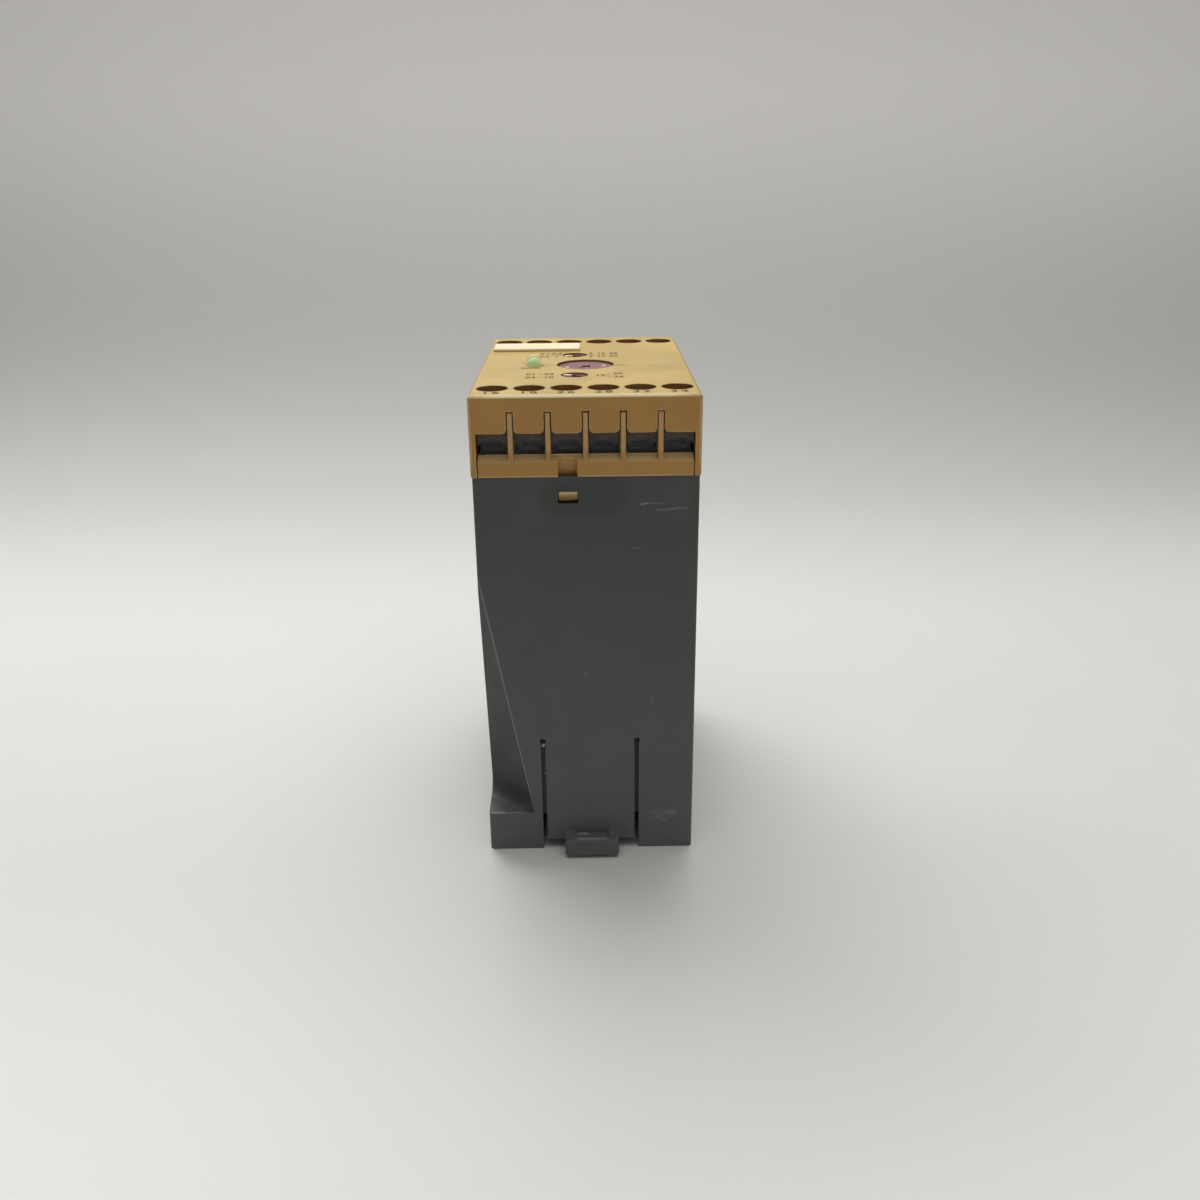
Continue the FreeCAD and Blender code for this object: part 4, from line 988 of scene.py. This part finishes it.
def ledge_fillet():
    """Hollow rounding between the ledge of the foot and the slanted cut above it."""
    run = (CUT_BACK - CUT_FOOT).normalized()
    up = Vector((0.0, 0.0, 1.0))
    away = up.cross(run)
    reach = FILLET_R / math.tan((math.pi - up.angle(CUT_OUT)) / 2)
    centre = away * reach + up * FILLET_R - (up + CUT_OUT) * FILLET_SUNK
    shares = [i / FILLET_STEPS for i in range(FILLET_STEPS + 1)]
    arc = [centre - FILLET_R * up.slerp(CUT_OUT, share) for share in shares]
    sunk_ends = [arc[0] + away, arc[-1] + run.cross(CUT_OUT)]
    section = [-FILLET_ROOT * (up + CUT_OUT), sunk_ends[0], *arc, sunk_ends[1]]
    bm = bmesh.new()
    rings = [[bm.verts.new((end + along * run + p) * MM) for p in section]
             for end, along in ((CUT_FOOT, -FILLET_OVERSHOOT), (CUT_BACK, FILLET_OVERSHOOT))]
    join_rings(bm, *rings)
    for ring in rings:
        bm.faces.new(ring)
    near_trim = ((0, FACE_Y + FILLET_BACK, 0), (0, -1, 0))
    side_trim = ((SIDE_X + FILLET_BACK, 0, 0), (-1, 0, 0))
    for at, out in (near_trim, side_trim):
        parts = bm.verts[:] + bm.edges[:] + bm.faces[:]
        cut = bmesh.ops.bisect_plane(
            bm, geom=parts, plane_co=Vector(at) * MM, plane_no=out, clear_outer=True)["geom_cut"]
        bmesh.ops.contextual_create(bm, geom=[e for e in cut if isinstance(e, bmesh.types.BMEdge)])
    finish = FINISHES["dark_plastic"]
    piece("ledge_fillet", to_mesh(bm, "ledge_fillet"), [finish], "housing")


clamp_screws()
ledge_fillet()
time_dial()
selector("function_cap", "function_selector", 160, FINISHES["red_plastic"], POINTER_FINISH)
selector("range_cap", "range_selector", 200, BRICK_SELECTOR, CREAM_POINTER)
status_lamp()
slit_burrs()


# Root of the tongue: half its width, how far it stands proud of the face and reaches behind it, how deep it
# starts in the tongue, and the step between its rows and their number
ROOT_HALF = 9.4
ROOT_PROUD = 0.008
ROOT_BACK = 1.9
ROOT_SUNK = 0.45
ROOT_STEP = 0.12
ROOT_ROWS = 11


def latch_root():
    """Thin root that joins the latch tongue to the wall."""
    tongue_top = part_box("rail_latch_tongue")[1].z / MM
    front = FACE_Y - ROOT_PROUD
    back = FACE_Y + ROOT_BACK
    section = [(-ROOT_HALF, front), (ROOT_HALF, front), (ROOT_HALF, back), (-ROOT_HALF, back)]
    heights = [tongue_top - ROOT_SUNK + ROOT_STEP * i for i in range(ROOT_ROWS)]
    bm = bmesh.new()
    rows = [[bm.verts.new((x * MM, y * MM, z * MM)) for x, y in section] for z in heights]
    bm.faces.new(rows[0])
    bm.faces.new(rows[-1])
    for low, high in zip(rows, rows[1:]):
        join_rings(bm, low, high)
    mesh = to_mesh(bm, "latch_root")
    mesh.materials.append(ROOT_FINISH)
    obj = new_object("latch_root", mesh)
    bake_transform(obj)


latch_root()


# Height of a figure as a share of its type size
FIGURE_SHARE = 0.7


def ink_text(bm, words, x, y, height, spread=1.0, narrow=1.0):
    """Plain printed figures, narrowed as asked, centred at a place on the panel."""
    curve = bpy.data.curves.new("figures", "FONT")
    curve.body = words
    curve.size = height / FIGURE_SHARE * MM
    curve.space_character = spread
    curve.align_x = "CENTER"
    curve.align_y = "CENTER"
    curve.resolution_u = 3
    curve.offset = INK_BOLD * MM
    obj = new_object("figures", curve)
    mesh = baked(obj)
    bpy.data.objects.remove(obj)
    place = Vector((x, y, PANEL_Z + INK_LIFT)) * MM
    add_copy(bm, mesh, Matrix.Translation(place) @ Matrix.Diagonal((narrow, 1.0, 1.0, 1.0)))


def ink_bar(bm, x0, y0, x1, y1, width):
    """Printed line from one place on the panel to another."""
    run = Vector((x1 - x0, y1 - y0))
    side = Vector((-run.y, run.x)).normalized() * width / 2
    ends = (Vector((x0, y0)), Vector((x1, y1)))
    corners = [ends[0] - side, ends[1] - side, ends[1] + side, ends[0] + side]
    bm.faces.new([bm.verts.new((c.x * MM, c.y * MM, (PANEL_Z + INK_LIFT) * MM)) for c in corners])


# Print: heights of the figures and how far the smaller ones are narrowed, rows, figures with their places,
# and lines with their ends and width
NEAR_HEIGHT = 2.1
NEAR_SPREAD = 1.35
FUNCTION_HEIGHT = 2.0
RANGE_HEIGHT = 1.8
NARROW = 0.74
FUNCTION_ROWS = (-14.6, -16.4, -18.2)
RANGE_ROWS = (11.4, 9.4, 7.4)
NEAR_FIGURES = ("16", "18", "26", "28", "32", "34")
FUNCTION_FIGURES = [  # words, x, row
    ("01", -11.1, 0), ("03", -7.4, 0), ("04", -11.1, 2), ("10", -7.4, 2),
    ("12", 3.2, 1), ("20", 6.9, 0), ("24", 6.9, 2),
]
RANGE_FIGURES = [
    ("0.1", -9.0, 0), ("0.3", -6.2, 0), ("0.5", -9.0, 2), ("1", -6.2, 2),
    ("3", 1.5, 0), ("10", 3.8, 0), ("30", 6.6, 0),
    ("5", 1.5, 2), ("15", 3.8, 2), ("60", 6.6, 2),
]
DASHES = [
    (-9.8, FUNCTION_ROWS[0], -8.7, FUNCTION_ROWS[0], 0.30),
    (-9.8, FUNCTION_ROWS[2], -8.7, FUNCTION_ROWS[2], 0.30),
    (4.5, -15.5, 5.6, -14.8, 0.30),
    (4.5, -17.3, 5.6, -18.0, 0.30),
    (-10.0, RANGE_ROWS[1], -5.4, RANGE_ROWS[1], 0.22),
    (1.0, RANGE_ROWS[1], 7.8, RANGE_ROWS[1], 0.22),
    # Tick at the dial and two at the lamp
    (6.5, -4.4, 8.9, -4.4, 0.42),
    (-13.4, -0.7, -12.7, -0.7, 0.7),
    (-9.3, -3.9, -8.8, -3.4, 0.7),
]
LAMP_LINE = (-13.7, -7.0, -9.4, -7.0, 0.9)


def panel_print():
    """Figures at the near terminals and round the selectors, dashes and ticks, and the line at the lamp."""
    bm = bmesh.new()
    for x, words in zip(TERMINAL_X, NEAR_FIGURES):
        ink_text(bm, words, x, -NUMBER_Y, NEAR_HEIGHT, spread=NEAR_SPREAD)
    for words, x, row in FUNCTION_FIGURES:
        ink_text(bm, words, x, FUNCTION_ROWS[row], FUNCTION_HEIGHT, narrow=NARROW)
    for words, x, row in RANGE_FIGURES:
        ink_text(bm, words, x, RANGE_ROWS[row], RANGE_HEIGHT, narrow=NARROW)
    for dash in DASHES:
        ink_bar(bm, *dash)
    piece("panel_print", to_mesh(bm, "panel_print"), [PANEL_INK], "housing")
    bm = bmesh.new()
    ink_bar(bm, *LAMP_LINE)
    piece("lamp_line", to_mesh(bm, "lamp_line"), [RED_INK], "housing")


panel_print()


# Studio sheet: its tones, painted light and shade, on the floor, lighter in front, darker behind and pale up
# the backdrop, and where they change, in millimetres along Y or up; where it fades out round the relay; its
# surface; and its form
SHEET_FLOOR = (srgb(218, 219, 215), srgb(226, 227, 223))
SHEET_FRONT = srgb(245, 246, 242)
SHEET_BEHIND = srgb(196, 195, 191)
SHEET_BACKDROP = srgb(250, 247, 242)
FRONT_TO_FLOOR = (-150.0, -30.0)
FLOOR_TO_BEHIND = (80.0, 280.0)
UP_THE_BACKDROP = (20.0, 200.0)
FADE_OUT = (750.0, 1300.0)
SHEET_CLOUD = 9.0
SHEET_GRAIN = 900.0
SHEET_ROUGH = 0.75
SHEET_BUMP = 0.10
SHEET_RELIEF = 0.2
SHEET_HALF = 1600.0
SHEET_NEAR = -1500.0
SHEET_BEND_Y = 300.0
SHEET_BEND_R = 260.0
SHEET_BEND_STEPS = 24
SHEET_TOP = 700.0


def paper_finish():
    """Pale matt sheet, a little cloudy, lighter in front and greyer towards the backdrop as painted light and
    shade, that fades out far from the relay.
    """
    material, w, shader = new_material("pale_sheet")
    cloud = w.noise(w.place(), SHEET_CLOUD, 3.0, 0.5)
    fine = w.noise(w.place(), SHEET_GRAIN, 3.0, 0.6)
    back = w.put("SeparateXYZ", {0: w.place()}).outputs["Y"]

    def along(span):
        return w.rise(back, span[0] * MM, span[1] * MM)

    sheet = w.blend(along(FRONT_TO_FLOOR), SHEET_FRONT, w.blend(cloud, *SHEET_FLOOR))
    sheet = w.blend(along(FLOOR_TO_BEHIND), sheet, SHEET_BEHIND)
    sheet = w.blend(w.above(*UP_THE_BACKDROP), sheet, SHEET_BACKDROP)
    w.feed(sheet, shader.inputs["Base Color"])
    level = w.vector("MULTIPLY", w.place(), (1.0, 1.0, 0.0))["Vector"]
    away = w.vector("LENGTH", level)["Value"]
    near, far = FADE_OUT
    w.feed(w.rise(away, near * MM, far * MM, 1.0, 0.0), shader.inputs["Alpha"])
    shader.inputs["Roughness"].default_value = SHEET_ROUGH
    w.relief(shader, fine, SHEET_BUMP, SHEET_RELIEF)
    return material


def pale_sweep():
    """Floor that curves up into a backdrop behind the relay."""
    turns = [math.pi / 2 * i / SHEET_BEND_STEPS for i in range(SHEET_BEND_STEPS + 1)]
    path = [(SHEET_NEAR, 0.0)]
    path += [(SHEET_BEND_Y + SHEET_BEND_R * math.sin(a), SHEET_BEND_R * (1 - math.cos(a))) for a in turns]
    path.append((SHEET_BEND_Y + SHEET_BEND_R, SHEET_TOP))
    bm = bmesh.new()
    left = [bm.verts.new((-SHEET_HALF * MM, y * MM, z * MM)) for y, z in path]
    right = [bm.verts.new((SHEET_HALF * MM, y * MM, z * MM)) for y, z in path]
    for i in range(len(path) - 1):
        bm.faces.new([left[i], right[i], right[i + 1], left[i + 1]])
    mesh = bpy.data.meshes.new("pale_sweep")
    bm.to_mesh(mesh)
    bm.free()
    mesh.shade_smooth()
    mesh.materials.append(paper_finish())
    obj = new_object("pale_sweep", mesh)


# Studio light: the pale surroundings, their light from left to right, where it changes, how bright they look
WORLD_GREY = srgb(206, 206, 204)
WORLD_LIGHT = (0.10, 0.30)
WORLD_TURN = (-0.9, 0.4)
WORLD_SEEN = 0.7
LAMPS = [  # name, place, aim, width and depth in metres, watts, spread in degrees
    ("overhead", (0.03, 0.0, 0.95), (0.0, 0.0, 0.05), 1.1, 1.0, 4.4, 180.0),
    ("behind", (-0.1, 0.50, 0.52), (0.0, 0.0, 0.08), 1.1, 0.3, 2.35, 110.0),
    ("front", (0.15, -0.95, 0.26), (0.0, 0.0, 0.05), 1.2, 0.3, 0.6, 180.0),
]


def soft_lamp(name, at, aim, width, depth, watts, spread):
    """Large soft lamp that faces a point."""
    data = bpy.data.lights.new(name, "AREA")
    data.shape = "RECTANGLE"
    data.size = width
    data.size_y = depth
    data.energy = watts
    data.spread = math.radians(spread)
    obj = new_object(name, data)
    obj.location = at
    obj.rotation_euler = (Vector(aim) - Vector(at)).to_track_quat("-Z", "Y").to_euler()
    obj.visible_camera = False


def studio():
    """Pale surroundings, an overhead lamp, one behind for the panel's sheen and a weak one in front."""
    world = bpy.data.worlds.new("studio")
    bpy.context.scene.world = world
    world.use_nodes = True
    w = Wiring(world.node_tree)
    background = world.node_tree.nodes["Background"]
    background.inputs["Color"].default_value = WORLD_GREY
    rays = w.put("LightPath").outputs
    seen = w.calc("ADD", rays["Is Camera Ray"], rays["Is Transmission Ray"], True)
    seen = w.calc("ADD", seen, rays["Is Glossy Ray"], True)
    side = w.put("SeparateXYZ", {0: w.put("TexCoord").outputs["Generated"]}).outputs["X"]
    light = w.rise(side, *WORLD_TURN, *WORLD_LIGHT)
    strength = w.put("Mix", {0: seen, 2: light, 3: WORLD_SEEN}, data_type="FLOAT").outputs[0]
    w.feed(strength, background.inputs["Strength"])
    for lamp in LAMPS:
        soft_lamp(*lamp)


def photo_camera():
    """Camera where the photograph was taken from."""
    yaw = math.radians(CAMERA_YAW)
    pitch = math.radians(CAMERA_PITCH)
    roll = math.radians(CAMERA_ROLL)
    forward = Vector((math.sin(yaw) * math.cos(pitch), math.cos(yaw) * math.cos(pitch), -math.sin(pitch)))
    right = Vector((math.cos(yaw), -math.sin(yaw), 0.0))
    down = forward.cross(right)
    across = math.cos(roll) * right + math.sin(roll) * down
    up = math.sin(roll) * right - math.cos(roll) * down
    data = bpy.data.cameras.new("photo_camera")
    data.sensor_width = SENSOR_WIDTH
    data.lens = PHOTO_FOCAL_PX / PHOTO_PX * SENSOR_WIDTH
    data.clip_start = CLIP_NEAR
    data.clip_end = CLIP_FAR
    obj = new_object("photo_camera", data)
    turn = Matrix((across, up, -forward)).transposed()
    obj.matrix_world = Matrix.Translation(Vector(CAMERA_AT) * MM) @ turn.to_4x4()
    bpy.context.scene.camera = obj


pale_sweep()
studio()
photo_camera()
bpy.context.scene.view_settings.view_transform = "Standard"
